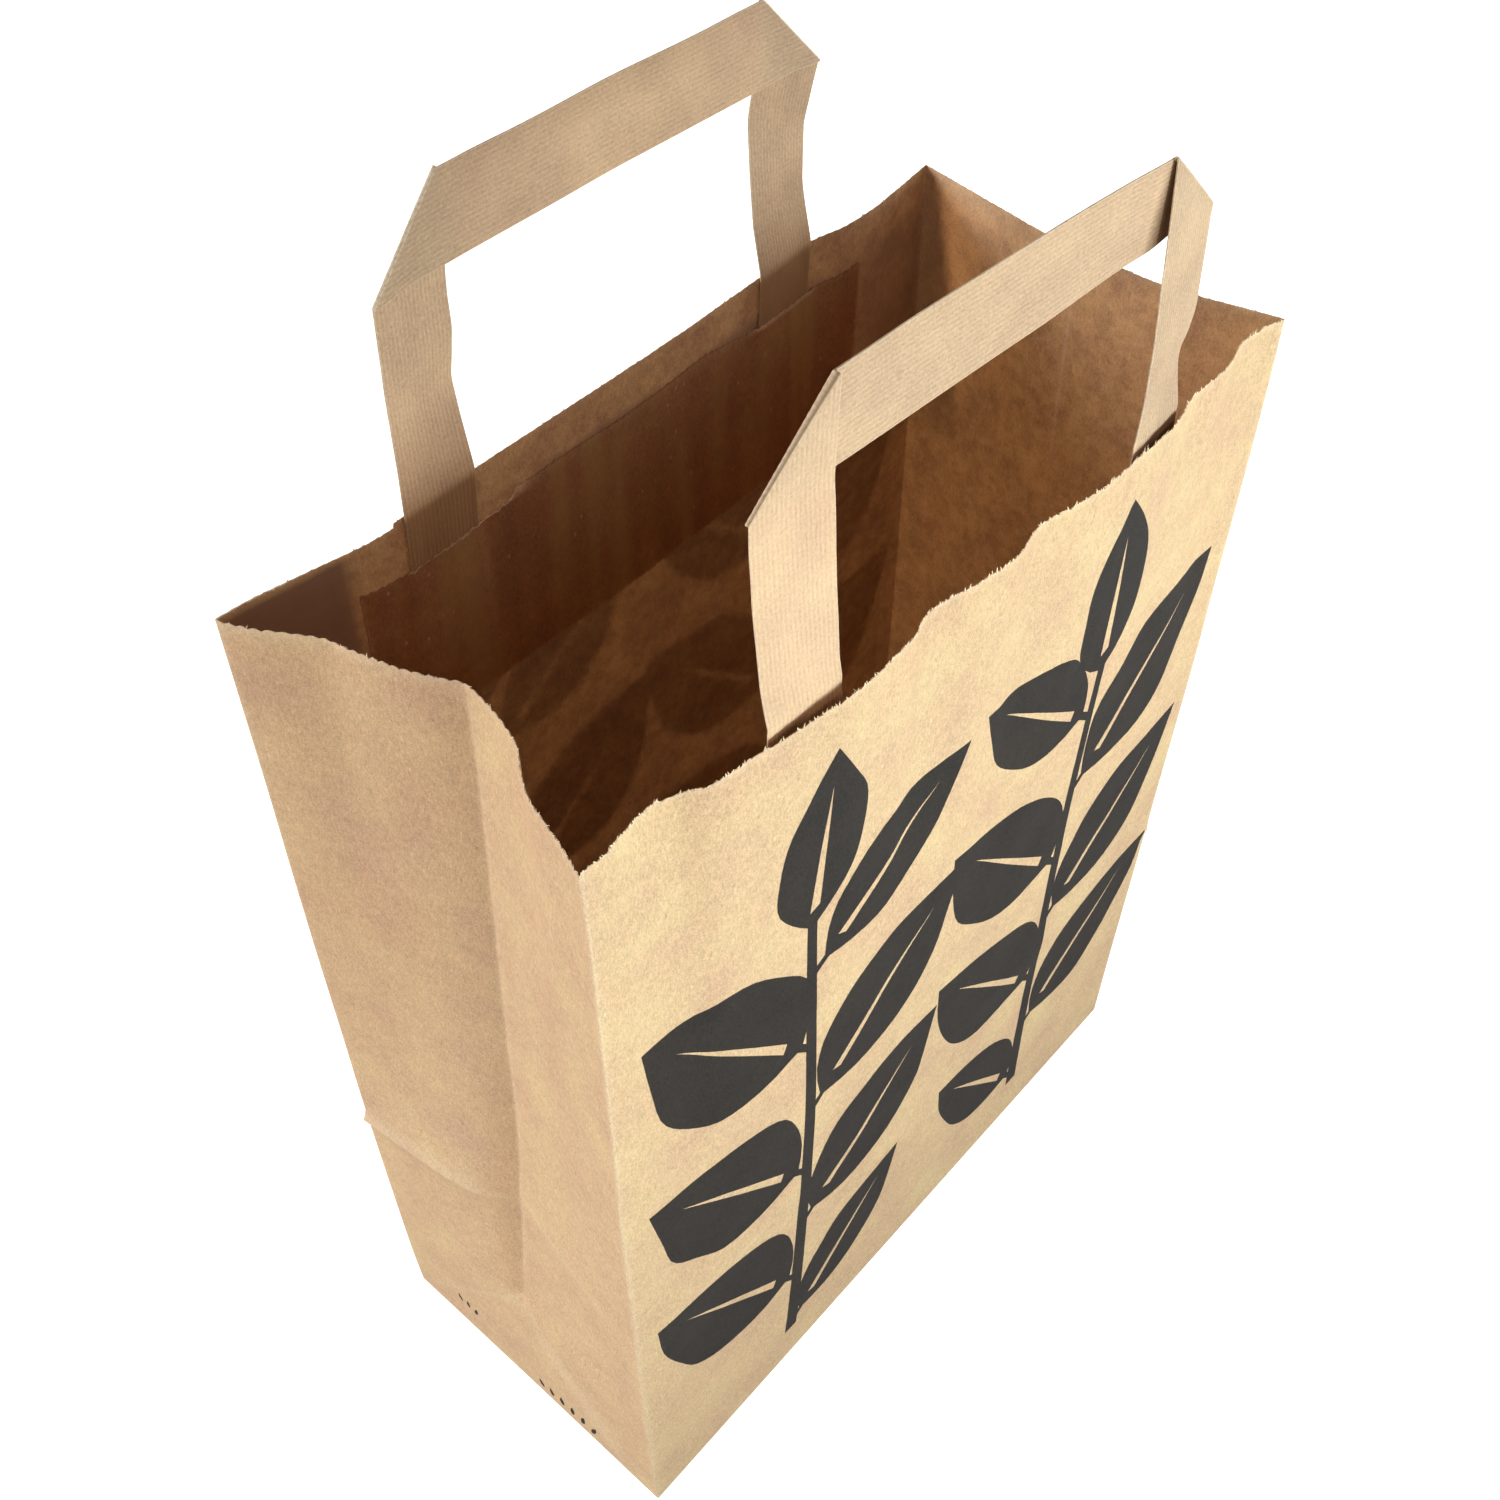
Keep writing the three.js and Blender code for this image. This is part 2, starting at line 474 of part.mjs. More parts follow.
// ---------------------------------------------------------------- reinforcing patches
const SLOPE = 2.3; // the paper comes down to the panel over this distance beside a leg
function patch({ panel, columns, inward, left, right }) {
  const legs = [left, right];
  const near = PAPER / 2 + GLUE + PAPER / 2;
  const over = PAPER / 2 + GLUE + TAPE + GLUE + PAPER / 2;
  const spans = legs.map((l) => [Math.min(...l.glued), Math.max(...l.glued)]);
  const slopes = spans.flatMap(([a, b]) => [a - SLOPE, b + SLOPE]);
  const us = [...columns.filter((u) => Math.abs(u) <= PATCH_X && slopes.every((e) => Math.abs(e - u) > 1)), ...slopes].sort((a, b) => a - b);
  const zs = [PATCH_LOW + 2, LEG_END - 2.8, LEG_END - 0.4, 242, 255, PATCH_HIGH - 2];
  const over01 = (u, z) => {
    const side = Math.max(...spans.map(([a, b]) => Math.min(clamp01((u - a) / SLOPE + 1), clamp01((b - u) / SLOPE + 1))));
    return Math.min(side, clamp01((z - (LEG_END - 2.8)) / 2.4));
  };
  const point = (u, z) => [panelX(panel, u, z), panelY(panel, columns, u, z) + inward * lerp(near, over, over01(u, z)), z];
  const f = new Faces();
  const layer = (side) => {
    const shift = (p) => f.add([p[0], p[1] + (inward * side * PAPER) / 2, p[2]]);
    const rows = zs.map((z) => us.map((u) => shift(point(u, z))));
    // Toothed upper and lower edges.
    const teeth = (z, dir) => {
      const run = [];
      const mark = [];
      us.forEach((u, i) => {
        mark.push(run.length);
        if (i + 1 === us.length) { run.push(shift(point(u, z))); return; }
        const k = Math.max(1, Math.round((us[i + 1] - u) / TOOTH_PITCH));
        for (let m = 0; m < 2 * k; m++)
          run.push(shift(point(lerp(u, us[i + 1], m / (2 * k)), z + (m % 2 ? dir * TOOTH_DEPTH : 0))));
      });
      return { run, mark };
    };
    return { rows, low: teeth(PATCH_LOW + TOOTH_DEPTH, -1), high: teeth(PATCH_HIGH - TOOTH_DEPTH, 1) };
  };
  const a = layer(-1); // against the panel
  const b = layer(1); // facing the inside of the bag
  const skin = ({ rows, low, high }, flip) => {
    for (let j = 0; j + 1 < zs.length; j++)
      for (let i = 0; i + 1 < us.length; i++) {
        const [p, q, r, s] = [rows[j][i], rows[j][i + 1], rows[j + 1][i + 1], rows[j + 1][i]];
        flip ? (f.tri(p, r, q), f.tri(p, s, r)) : (f.tri(p, q, r), f.tri(p, r, s));
      }
    f.comb(rows[zs.length - 1], high.run, high.mark, flip);
    f.comb(rows[0], low.run, low.mark, !flip);
  };
  const front = inward > 0; // the layer against the panel faces -Y on the front patch
  skin(a, !front);
  skin(b, front);
  const wall = (x, y, flip) => {
    for (let i = 0; i + 1 < x.length; i++)
      flip
        ? (f.tri(x[i], y[i + 1], x[i + 1]), f.tri(x[i], y[i], y[i + 1]))
        : (f.tri(x[i], x[i + 1], y[i + 1]), f.tri(x[i], y[i + 1], y[i]));
  };
  wall(a.high.run, b.high.run, !front);
  wall(a.low.run, b.low.run, front);
  const end = (l, i) => [l.low.run.at(i), ...l.rows.map((r) => r.at(i)), l.high.run.at(i)];
  wall(end(a, 0), end(b, 0), !front);
  wall(end(a, -1), end(b, -1), front);
  return f.geometry();
}

// ---------------------------------------------------------------- the object
const kraft = (color, roughness) => new THREE.MeshStandardMaterial({ color, roughness, metalness: 0, flatShading: true });
const FRONT = { panel: onFront, columns: FRONT_U, inward: 1, left: LEGS.frontLeft, right: LEGS.frontRight };
const BACK = { panel: onBack, columns: BACK_U, inward: -1, left: LEGS.backLeft, right: LEGS.backRight };

const pieces = [
  ['bag_body', foldedBag(), kraft(0xd8b489, 0.85)],
  ['handle_front', handle({ ...FRONT, barLeft: -45.0, barRight: -50.6, barBelly: 1.2 }), kraft(0xcfa981, 0.8)],
  ['handle_back', handle({ ...BACK, barLeft: 47.4, barRight: 48.0, barBelly: 0.3 }), kraft(0xcfa981, 0.8)],
  ['handle_patch_front', patch(FRONT), kraft(0xc79f70, 0.85)],
  ['handle_patch_back', patch(BACK), kraft(0xc79f70, 0.85)],
];

const bag = new THREE.Group();
bag.name = 'paper_carrier_bag';
for (const [name, geometry, material] of pieces) {
  geometry.computeVertexNormals();
  const mesh = new THREE.Mesh(geometry, material);
  mesh.name = name;
  bag.add(mesh);
}

export default bag;
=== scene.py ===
import math

import bpy
import numpy as np
from mathutils import Matrix, Vector
from mathutils.geometry import delaunay_2d_cdt


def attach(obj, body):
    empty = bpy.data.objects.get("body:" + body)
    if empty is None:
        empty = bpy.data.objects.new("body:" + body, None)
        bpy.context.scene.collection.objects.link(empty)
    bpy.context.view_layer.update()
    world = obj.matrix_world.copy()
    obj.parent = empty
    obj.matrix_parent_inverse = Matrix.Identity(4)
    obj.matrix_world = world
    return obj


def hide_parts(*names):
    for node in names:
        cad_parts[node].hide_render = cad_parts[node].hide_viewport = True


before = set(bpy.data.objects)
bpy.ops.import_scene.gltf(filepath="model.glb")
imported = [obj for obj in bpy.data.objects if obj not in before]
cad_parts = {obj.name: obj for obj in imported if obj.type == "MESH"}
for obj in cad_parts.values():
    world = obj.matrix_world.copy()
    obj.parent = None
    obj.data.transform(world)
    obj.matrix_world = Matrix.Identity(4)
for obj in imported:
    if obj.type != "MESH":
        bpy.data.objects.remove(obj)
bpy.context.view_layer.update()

# Paper carrier bag. All lengths below are millimetres until a mesh is made.
WIDTH, DEPTH, HEIGHT = 220.0, 100.0, 280.0
HW, HD = WIDTH / 2, DEPTH / 2
SHEET = 0.20  # drawn thickness of one layer of kraft
TAPE = 0.42  # drawn thickness of the handle tape
TAPE_WIDTH = 19.6
BAR_LOW = 323.8
LEG_END = 230.0
PATCH_X, PATCH_LOW, PATCH_HIGH = 80.5, 218.0, 267.0
LAP = 22.0
FLAP = 64.0
APEX = 55.0
CREASE = {"L": 17.9, "R": 6.7}
ROUND = 0.5  # radius of the upright folds
TOP_ROW = 277.4

MOUTH = ((-108.6, -47.0), (109.7, -53.0), (111.0, 50.3), (-111.0, 47.7))
FOOT = ((-HW, -HD), (HW, -HD), (HW, HD), (-HW, HD))

MOUTH_LINE = {
    "F": [
        (-110, 0), (-103, 0.6), (-96, 2.1), (-91, 2.6), (-86, 1.6), (-83, -0.4), (-79.5, -1.9), (-71, -2.9),
        (-64, -3.9), (-54.5, -4.8), (-44.5, -5.5), (-36, -5), (-31, -4.6), (-27, -3.7), (-23.5, -2.4), (-20, -1.9),
        (-16, -2.4), (-10, -3.4), (-4, -4.2), (2, -4.5), (6, -3.9), (10, -2.7), (13.5, -2.25), (18, -2.5),
        (24, -3.6), (30, -4.5), (36, -4.4), (44.5, -3.9), (54.5, -3.5), (61, -3), (65.5, -1.8), (71, -0.5),
        (79, -0.55), (84, -0.4), (90, 0.7), (95, 2.2), (100, 2.4), (105, 2), (110, 0),
    ],
    "B": [
        (-110, 0), (-101, -0.4), (-92, -1.7), (-83, -3.2), (-76, -4.2), (-70, -4.2), (-63, -4), (-53, -3.7),
        (-33, -3.6), (-3, -3.7), (17, -3.3), (33, -2.5), (49, -1.7), (62, -0.8), (69, -1.9), (74, -2.8),
        (85.5, -2.9), (95, -1.8), (104, -0.7), (110, 0),
    ],
    "L": [
        (-50, 0), (-42, 0.1), (-36, -0.2), (-31, -0.5), (-27, 0.1), (-23, 1.4), (-20, 2.6), (-13, 2.4),
        (-5, 1.2), (0, 0), (8, -0.5), (15, 0), (23, 1.2), (30, 2.5), (36, 1.6), (43, 0.3), (50, 0),
    ],
    "R": [
        (-50, 0), (-40, 1.2), (-31, 2.3), (-22, 2.7), (-12, 1.7), (0, 0), (9, 0.9), (25, 0.6), (38, 0.2), (50, 0),
    ],
}
BOW = {"F": -4.0, "B": -3.2}
# How far the four upright folds stand out along X between the foot and the mouth.
STAND = (
    [(0, 0), (25, -0.2), (55, -0.7), (85, -0.9), (110, -0.8), (160, -0.8), (190, -0.2), (230, 0.1), (255, 0.4), (280, 0)],
    [(0, 0), (35, 0.3), (80, 0.8), (125, 1.1), (170, 1.4), (200, 1.1), (230, 1.0), (260, 0.6), (280, 0)],
    [(0, 0), (80, 0.6), (150, 0.9), (220, 0.7), (280, 0)],
    [(0, -0.2), (20, -0.8), (50, -1.1), (80, -1.3), (110, -1.4), (140, -1.2), (170, -1.1), (200, -0.8), (235, -0.3), (280, 0)],
)

# The crease left by the bag having been folded flat: its height along each panel, and how far it stands out.
FOLD = {
    "F": [(-110, 99.5, 0.34), (-92, 98.8, 0.40), (-60, 98.3, 0.34), (0, 98, 0.30), (60, 98, 0.30), (110, 98, 0.32)],
    "R": [(-50, 98, 0.32), (-20, 99.5, 0.34), (0, 101, 0.30), (20, 99, 0.34), (50, 97, 0.32)],
    "B": [(-110, 97.2, 0.95), (-90, 96.6, 0.60), (-50, 96.2, 0.38), (0, 96, 0.34), (60, 96.5, 0.32), (110, 97, 0.32)],
    "L": [
        (-50, 99.5, 0.34), (-40, 99.8, 0.50), (-29, 100.4, 0.75), (-15, 101.8, 0.80), (-3, 103.5, 0.55), (5, 100.0, 0.60), (13, 98.6, 1.60),
        (26, 99.0, 2.10), (40, 99.6, 1.90), (50, 97.4, 0.95),
    ],
}

# Where the legs are glued to the panels: outer edge, middle and inner edge.
GLUED = {
    "FL": (-66.2, -56.4, -46.6),
    "FR": (64.3, 54.5, 44.7),
    "BL": (-68.8, -59.0, -49.2),
    "BR": (62.6, 52.8, 43.0),
}


# ------------------------------------------------------------------ small helpers
def clamp01(t):
    return np.clip(t, 0.0, 1.0)


def ease(t):
    c = clamp01(t)
    return c * c * (3 - 2 * c)


def lerp(a, b, t):
    return a + (b - a) * t


def through(table, column=1):
    """Smooth curve through a table of knots."""
    x = np.array([p[0] for p in table], float)
    y = np.array([p[column] for p in table], float)
    k = np.empty_like(y)
    k[1:-1] = (y[2:] - y[:-2]) / (x[2:] - x[:-2])
    k[0] = (y[1] - y[0]) / (x[1] - x[0])
    k[-1] = (y[-1] - y[-2]) / (x[-1] - x[-2])

    def f(q):
        q = np.clip(np.asarray(q, float), x[0], x[-1])
        i = np.clip(np.searchsorted(x, q, side="right") - 1, 0, len(x) - 2)
        h = x[i + 1] - x[i]
        t = (q - x[i]) / h
        t2, t3 = t * t, t * t * t
        return (
            (2 * t3 - 3 * t2 + 1) * y[i] + (t3 - 2 * t2 + t) * h * k[i]
            + (3 * t2 - 2 * t3) * y[i + 1] + (t3 - t2) * h * k[i + 1]
        )

    return f


def bent(table, column=1, soft=1.1):
    """Straight runs between knots, the corners rounded over a short length."""
    x = np.array([p[0] for p in table], float)
    y = np.array([p[column] for p in table], float)
    off = np.linspace(-soft, soft, 9)
    return lambda q: np.mean([np.interp(np.asarray(q, float) + o, x, y) for o in off], axis=0)


def hashed(ix, iy, seed):
    h = (ix.astype(np.int64) * 374761393 + iy.astype(np.int64) * 668265263 + seed * 1442695041) & 0xFFFFFFFF
    h = ((h ^ (h >> 13)) * 1274126177) & 0xFFFFFFFF
    return ((h ^ (h >> 16)) & 0xFFFFFFFF) / 2147483648.0 - 1.0


def noise(x, y, seed):
    """Smooth value noise from -1 to 1."""
    x, y = np.broadcast_arrays(np.asarray(x, float), np.asarray(y, float))
    ix, iy = np.floor(x), np.floor(y)
    fx, fy = x - ix, y - iy
    fx, fy = fx * fx * (3 - 2 * fx), fy * fy * (3 - 2 * fy)
    a, b = hashed(ix, iy, seed), hashed(ix + 1, iy, seed)
    c, d = hashed(ix, iy + 1, seed), hashed(ix + 1, iy + 1, seed)
    return lerp(lerp(a, b, fx), lerp(c, d, fx), fy)


def unit(v):
    return v / np.maximum(np.linalg.norm(v, axis=-1, keepdims=True), 1e-12)


# ------------------------------------------------------------------ shape of the sheet
mouth_line = {p: through(t) for p, t in MOUTH_LINE.items()}
fold_height = {p: through(t, 1) for p, t in FOLD.items()}
fold_size = {p: through(t, 2) for p, t in FOLD.items()}
stand = [through(t) for t in STAND]
ENDS = {"F": (0, 1), "R": (1, 2), "B": (3, 2), "L": (0, 3)}
HALF = {"F": HW, "R": HD, "B": HW, "L": HD}


def cockle(z):
    return np.exp(-np.power(np.maximum(0, HEIGHT - z) / 62, 1.3))


def belly(z):
    return np.power(clamp01(z / HEIGHT), 1.3)


def lean(z):
    return np.power(clamp01(z / HEIGHT), 1.4)


crease_groove = through([(0, 0), (50, 0), (53.5, 0.7), (57, 1.9), (62, 2.2), (75, 2.5), (95, 2.8), (115, 2.9), (140, 2.4), (165, 1.5), (200, 1.0), (240, 0.7), (280, 0.5)])


def drawn(z):
    return 1 - np.power(1 - clamp01((z - APEX) / (HEIGHT - APEX)), 1.6)


def segment(u, z, a, b):
    """Distance to a straight line between two points, and the place along it."""
    ax, az, dx, dz = a[0], a[1], b[0] - a[0], b[1] - a[1]
    t = clamp01(((u - ax) * dx + (z - az) * dz) / (dx * dx + dz * dz))
    return np.hypot(u - ax - t * dx, z - az - t * dz), t


def relief(p, u, z):
    """Slow unevenness of the paper and soft dents, outwards."""
    half = HALF[p]
    seed = {"F": 11, "R": 23, "B": 37, "L": 41}[p]
    edge = ease((half - np.abs(u)) / 15) * ease(z / 18)
    slow = 0.42 * noise(u / 52, z / 66, seed) + 0.20 * noise(u / 24 + 7, z / 33, seed + 1) + 0.07 * noise(u / 10, z / 15, seed + 2)
    out = slow * edge
    if p in "FB":
        # the glued strip under the mouth is pulled into short upright waves
        strip = ease((z - 208) / 16) * ease((283 - z) / 14) * ease((88 - np.abs(u)) / 10)
        out = out + strip * (0.17 * noise(u / 5.6, z / 70, seed + 3) + 0.08 * noise(u / 2.9, z / 38, seed + 4))
    if p == "F":
        for a, b, w, h in (
            ((-104, 262), (-70, 243), 2.2, -0.16), ((-30, 274), (-12, 246), 3.0, -0.14), ((70, 270), (96, 236), 3.2, -0.2),
            ((-96, 60), (-40, 44), 3.0, 0.12), ((36, 150), (92, 128), 4.0, 0.12), ((-80, 182), (-20, 170), 4.0, -0.1),
        ):
            d, t = segment(u, z, a, b)
            out = out + h * np.exp(-((d / w) ** 2)) * np.sin(np.pi * clamp01(t * 0.9 + 0.05))
    if p == "L":
        # pucker where the gusset crease runs out, and creases that spread from it
        out = out - 0.5 * np.exp(-((u / 4) ** 2 + ((z - APEX) / 5) ** 2))
        for a, b, w, h in (
            ((8, 140), (30, 118), 4.0, 0.14), ((6, 176), (34, 158), 3.0, -0.12), ((-2, 52), (-16, 36), 2.4, -0.16),
            ((-12, 236), (-34, 214), 3.6, -0.16), ((14, 250), (40, 222), 3.6, 0.16), ((-44, 150), (-20, 168), 3.0, 0.1),
        ):
            d, t = segment(u, z, a, b)
            out = out + h * np.exp(-((d / w) ** 2)) * np.sin(np.pi * clamp01(t * 0.9 + 0.05))
        for a, b, w, h in (
            ((0, 57), (6, 48), 1.5, -0.55), ((6, 48), (13, 35), 1.6, -0.40), ((11, 38), (21, 21), 1.8, -0.45), ((-9, 123), (-30, 110), 2.2, -0.30),
            ((-28, 111), (-46, 103), 2.2, -0.22), ((3, 66), (15, 52), 2.0, -0.22), ((-37, 150), (-36, 118), 1.4, -0.10),
        ):
            d, t = segment(u, z, a, b)
            out = out + h * np.exp(-d / w) * np.sin(np.pi * clamp01(t * 0.8 + 0.1))
        out = out + 0.4 * ease((z - 96) / 8) * ease((124 - z + 0.5 * (u + 10)) / 6) * ease((-u - 4) / 10) * ease((u + 50) / 10)
    if p == "R":
        out = out - 0.4 * np.exp(-((u / 5) ** 2 + ((z - APEX) / 6) ** 2))
        for a, b, w, h in (((0, 56), (-12, 42), 1.8, -0.26), ((2, 52), (16, 36), 2.4, -0.16), ((-40, 240), (-14, 212), 3.4, 0.18), ((12, 250), (34, 206), 3.4, -0.16)):
            d, t = segment(u, z, a, b)
            out = out + h * np.exp(-((d / w) ** 2)) * np.sin(np.pi * clamp01(t * 0.9 + 0.05))
    if p == "B":
        for a, b, w, h in (((-90, 150), (-30, 132), 4, 0.14), ((20, 180), (84, 160), 4, -0.14), ((-60, 60), (0, 46), 3.6, 0.12)):
            d, t = segment(u, z, a, b)
            out = out + h * np.exp(-((d / w) ** 2)) * np.sin(np.pi * clamp01(t * 0.9 + 0.05))
    return out


def sheet_point(p, u, z):
    """Middle of the sheet. u runs along X on front and back, along Y on the gussets."""
    u, z = np.broadcast_arrays(np.asarray(u, float), np.asarray(z, float))
    half = HALF[p]
    a, b = ENDS[p]
    q = lean(z)
    s = (u + half) / (2 * half)
    ax, ay = lerp(FOOT[a][0], MOUTH[a][0], q), lerp(FOOT[a][1], MOUTH[a][1], q)
    bx, by = lerp(FOOT[b][0], MOUTH[b][0], q), lerp(FOOT[b][1], MOUTH[b][1], q)
    out_a, out_b = stand[a](z), stand[b](z)
    ax, bx = ax + out_a, bx + out_b
    if p in "FR":
        ay, by = ay - (0.5 * out_a if a == 1 else 0), by - (0.5 * out_b if b == 1 else 0)
    x, y = lerp(ax, bx, s), lerp(ay, by, s)
    d = z - fold_height[p](u)
    inner = ease((half - np.abs(u)) / 12)
    r = fold_size[p](u) * np.maximum(0, 1 - np.where(d > 0, d / lerp(4.5, 14, inner), -d / lerp(2.2, 9, inner)))
    spread = r * (2 * s - 1)
    # a small nick in the front left edge
    nick = np.zeros_like(x)
    if p in "FL":
        nick = 0.5 * np.exp(-(((z - 120) / 1.7) ** 2)) * clamp01(1 - (u + half) / 5)
    out = r + relief(p, u, z) - nick
    if p in "FB":
        bow = BOW[p] * np.sin(np.pi * s)
        y = y + bow * belly(z) + (mouth_line[p](u) - bow) * cockle(z)
        y = y + (-out if p == "F" else out)
        x = x + spread + nick
    else:
        near = np.sqrt(u * u + 0.16) - 0.4
        t = 1 - np.abs(near) / half
        if p == "L":
            # the back half rolls into the crease, the front half meets it straight
            groove = crease_groove(z)
            fold = CREASE[p] * drawn(z) * t + groove * np.where(u > 0, np.power(clamp01(t), 8), clamp01(t))
            fold = fold + (0.8 * ease(1 - (z - APEX) / 60) - (out_a + out_b) / 2) * t
        else:
            fold = CREASE[p] * drawn(z) * t
        foot = (0.8 if p == "L" else 0.0) * np.maximum(0, 1 - np.abs(u) / half - z / APEX)
        inward = fold + mouth_line[p](u) * cockle(z) - foot - out
        x = x + (inward if p == "L" else -inward)
        y = y + spread + nick
    return np.stack([x, y, z], -1)


def sheet_normal(p, u, z, e=0.35):
    """Outward normal of the sheet."""
    du = sheet_point(p, u + e, z) - sheet_point(p, u - e, z)
    dz = sheet_point(p, u, z + e) - sheet_point(p, u, z - e)
    n = unit(np.cross(du, dz))
    return n if p in "FR" else -n


def cut_edge(p, u):
    """Height of the cut edge; the knife left a small step in the back panel."""
    if p == "B":
        return np.where(u < -70, HEIGHT - 1.1 + 1.1 * clamp01((-70 - u) / 40), HEIGHT)
    return np.full_like(np.asarray(u, float), HEIGHT)


# ------------------------------------------------------------------ printed design
def leaf(base, angle, length, width, rng):
    """Outline and middle slit of one leaf, from a base point along an angle from upright."""
    t = np.array([0.0, 0.09, 0.25, 0.44, 0.63, 0.82, 1.0])
    w = np.array([0.06, 0.50, 0.90, 1.0, 0.86, 0.48, 0.0]) * width / 2
    fine = np.linspace(0, 1, 19)
    sides = []
    for sign in (1, -1):
        tt = t + np.concatenate([[0], rng.uniform(-0.02, 0.02, 5), [0]])
        ww = w * (1 + np.concatenate([[0], rng.uniform(-0.06, 0.06, 5), [0]]))
        sides.append(np.stack([sign * np.maximum(0, through(list(zip(tt, ww)))(fine)), fine * length], -1))
    outline = np.concatenate([sides[0], sides[1][-2::-1]])
    slit = np.array([(-1.5, 0.10 * length), (1.4, 0.12 * length), (0.8, 0.52 * length), (0.0, 0.80 * length), (-0.8, 0.48 * length)])
    c, s = math.cos(angle), math.sin(angle)
    turn = np.array([[c, s], [-s, c]])
    return [np.asarray(base) + q @ turn.T for q in (outline, slit)]


def stalk(points, widths):
    points = np.asarray(points, float)
    d = np.gradient(points, axis=0)
    n = unit(np.stack([d[:, 1], -d[:, 0]], -1))
    w = np.asarray(widths, float)[:, None] / 2
    return np.concatenate([points + n * w, (points - n * w)[::-1]])


def dense(poly, step=1.7):
    """The same closed outline with points no further apart than step."""
    out = []
    for a, b in zip(poly, np.roll(poly, -1, 0)):
        k = max(1, int(math.ceil(np.linalg.norm(b - a) / step)))
        out.extend(lerp(a, b, i / k) for i in range(k))
    return np.array(out)


def sprigs(seed, apart=0.0):
    """Two upright sprigs of bold leaves. Returns filled outlines and the slits left in them."""
    rng = np.random.default_rng(seed)
    filled, open_ = [], []
    for x0, first, low in ((-53.0 - apart, 1, 17.0), (53.0 + apart, -1, 20.0)):
        zs = np.linspace(low, 214, 26)
        xs = x0 + 3.2 * np.sin((zs - low) / 62 + (0 if first > 0 else 2.2))
        filled.append(stalk(np.stack([xs, zs], -1), np.linspace(5.0, 3.0, 26)))
        at = lambda z: np.array([np.interp(z, zs, xs), z])
        side = first
        for k, z in enumerate(np.arange(low + 4, 204, 28.8)):
            turn = side * math.radians(47 + rng.uniform(-3, 3))
            long_, wide = 65.0 + rng.uniform(-2, 2), 39.0 + rng.uniform(-1.0, 1.0)
            if k == 0:
                long_, wide = 58.0, 31.0
            if z > 190:
                long_, wide, turn = 56.0, 29.0, side * math.radians(52)
            way = np.array([math.sin(turn), math.cos(turn)])
            start = at(z) + way * 5.5
            outline, slit = leaf(start, turn, long_, wide, rng)
            filled.append(outline)
            open_.append(slit)
            filled.append(stalk([at(z) - way * 0.5, at(z) + way * 3.5, start + way * 2.5], [2.6, 2.4, 2.4]))
            side = -side
        outline, slit = leaf(at(212) + np.array([0.0, 1.0]), math.radians(3 * first), 54.0, 25.0, rng)
        filled.append(outline)
        open_.append(slit)
    return filled, open_


def small_marks():
    """A short row of small leaves near the foot of the left gusset."""
    rng = np.random.default_rng(5)
    filled = []
    for k in range(6):
        filled.append(leaf((-24.0 + 4.0 * k, 3.6 + 0.2 * (k % 2)), math.radians(-20 + 8 * k), 6.0 - 0.4 * k, 1.7, rng)[0])
    for k in range(3):
        filled.append(leaf((24.0 + 2.8 * k, 12.0 + 0.6 * k), math.radians(-14 + 14 * k), 4.2, 1.4, rng)[0])
    return filled, []


def inside_any(polys, pts):
    """True where a point lies in any of the outlines."""
    got = np.zeros(len(pts), bool)
    for poly in polys:
        lo, hi = poly.min(0), poly.max(0)
        near = np.nonzero(((pts >= lo) & (pts <= hi)).all(1))[0]
        if not len(near):
            continue
        x, y = pts[near, 0], pts[near, 1]
        c = np.zeros(len(near), bool)
        for a, b in zip(poly, np.roll(poly, -1, 0)):
            cross = (a[1] > y) != (b[1] > y)
            with np.errstate(divide="ignore", invalid="ignore"):
                c ^= cross & (x < (b[0] - a[0]) * (y - a[1]) / (b[1] - a[1]) + a[0])
        got[near] |= c
    return got


PRINT = {"F": sprigs(3), "B": sprigs(3, 0.6), "L": small_marks(), "R": ([], [])}


def printed(p, pts):
    filled, open_ = PRINT[p]
    return inside_any(filled, pts) & ~inside_any(open_, pts)


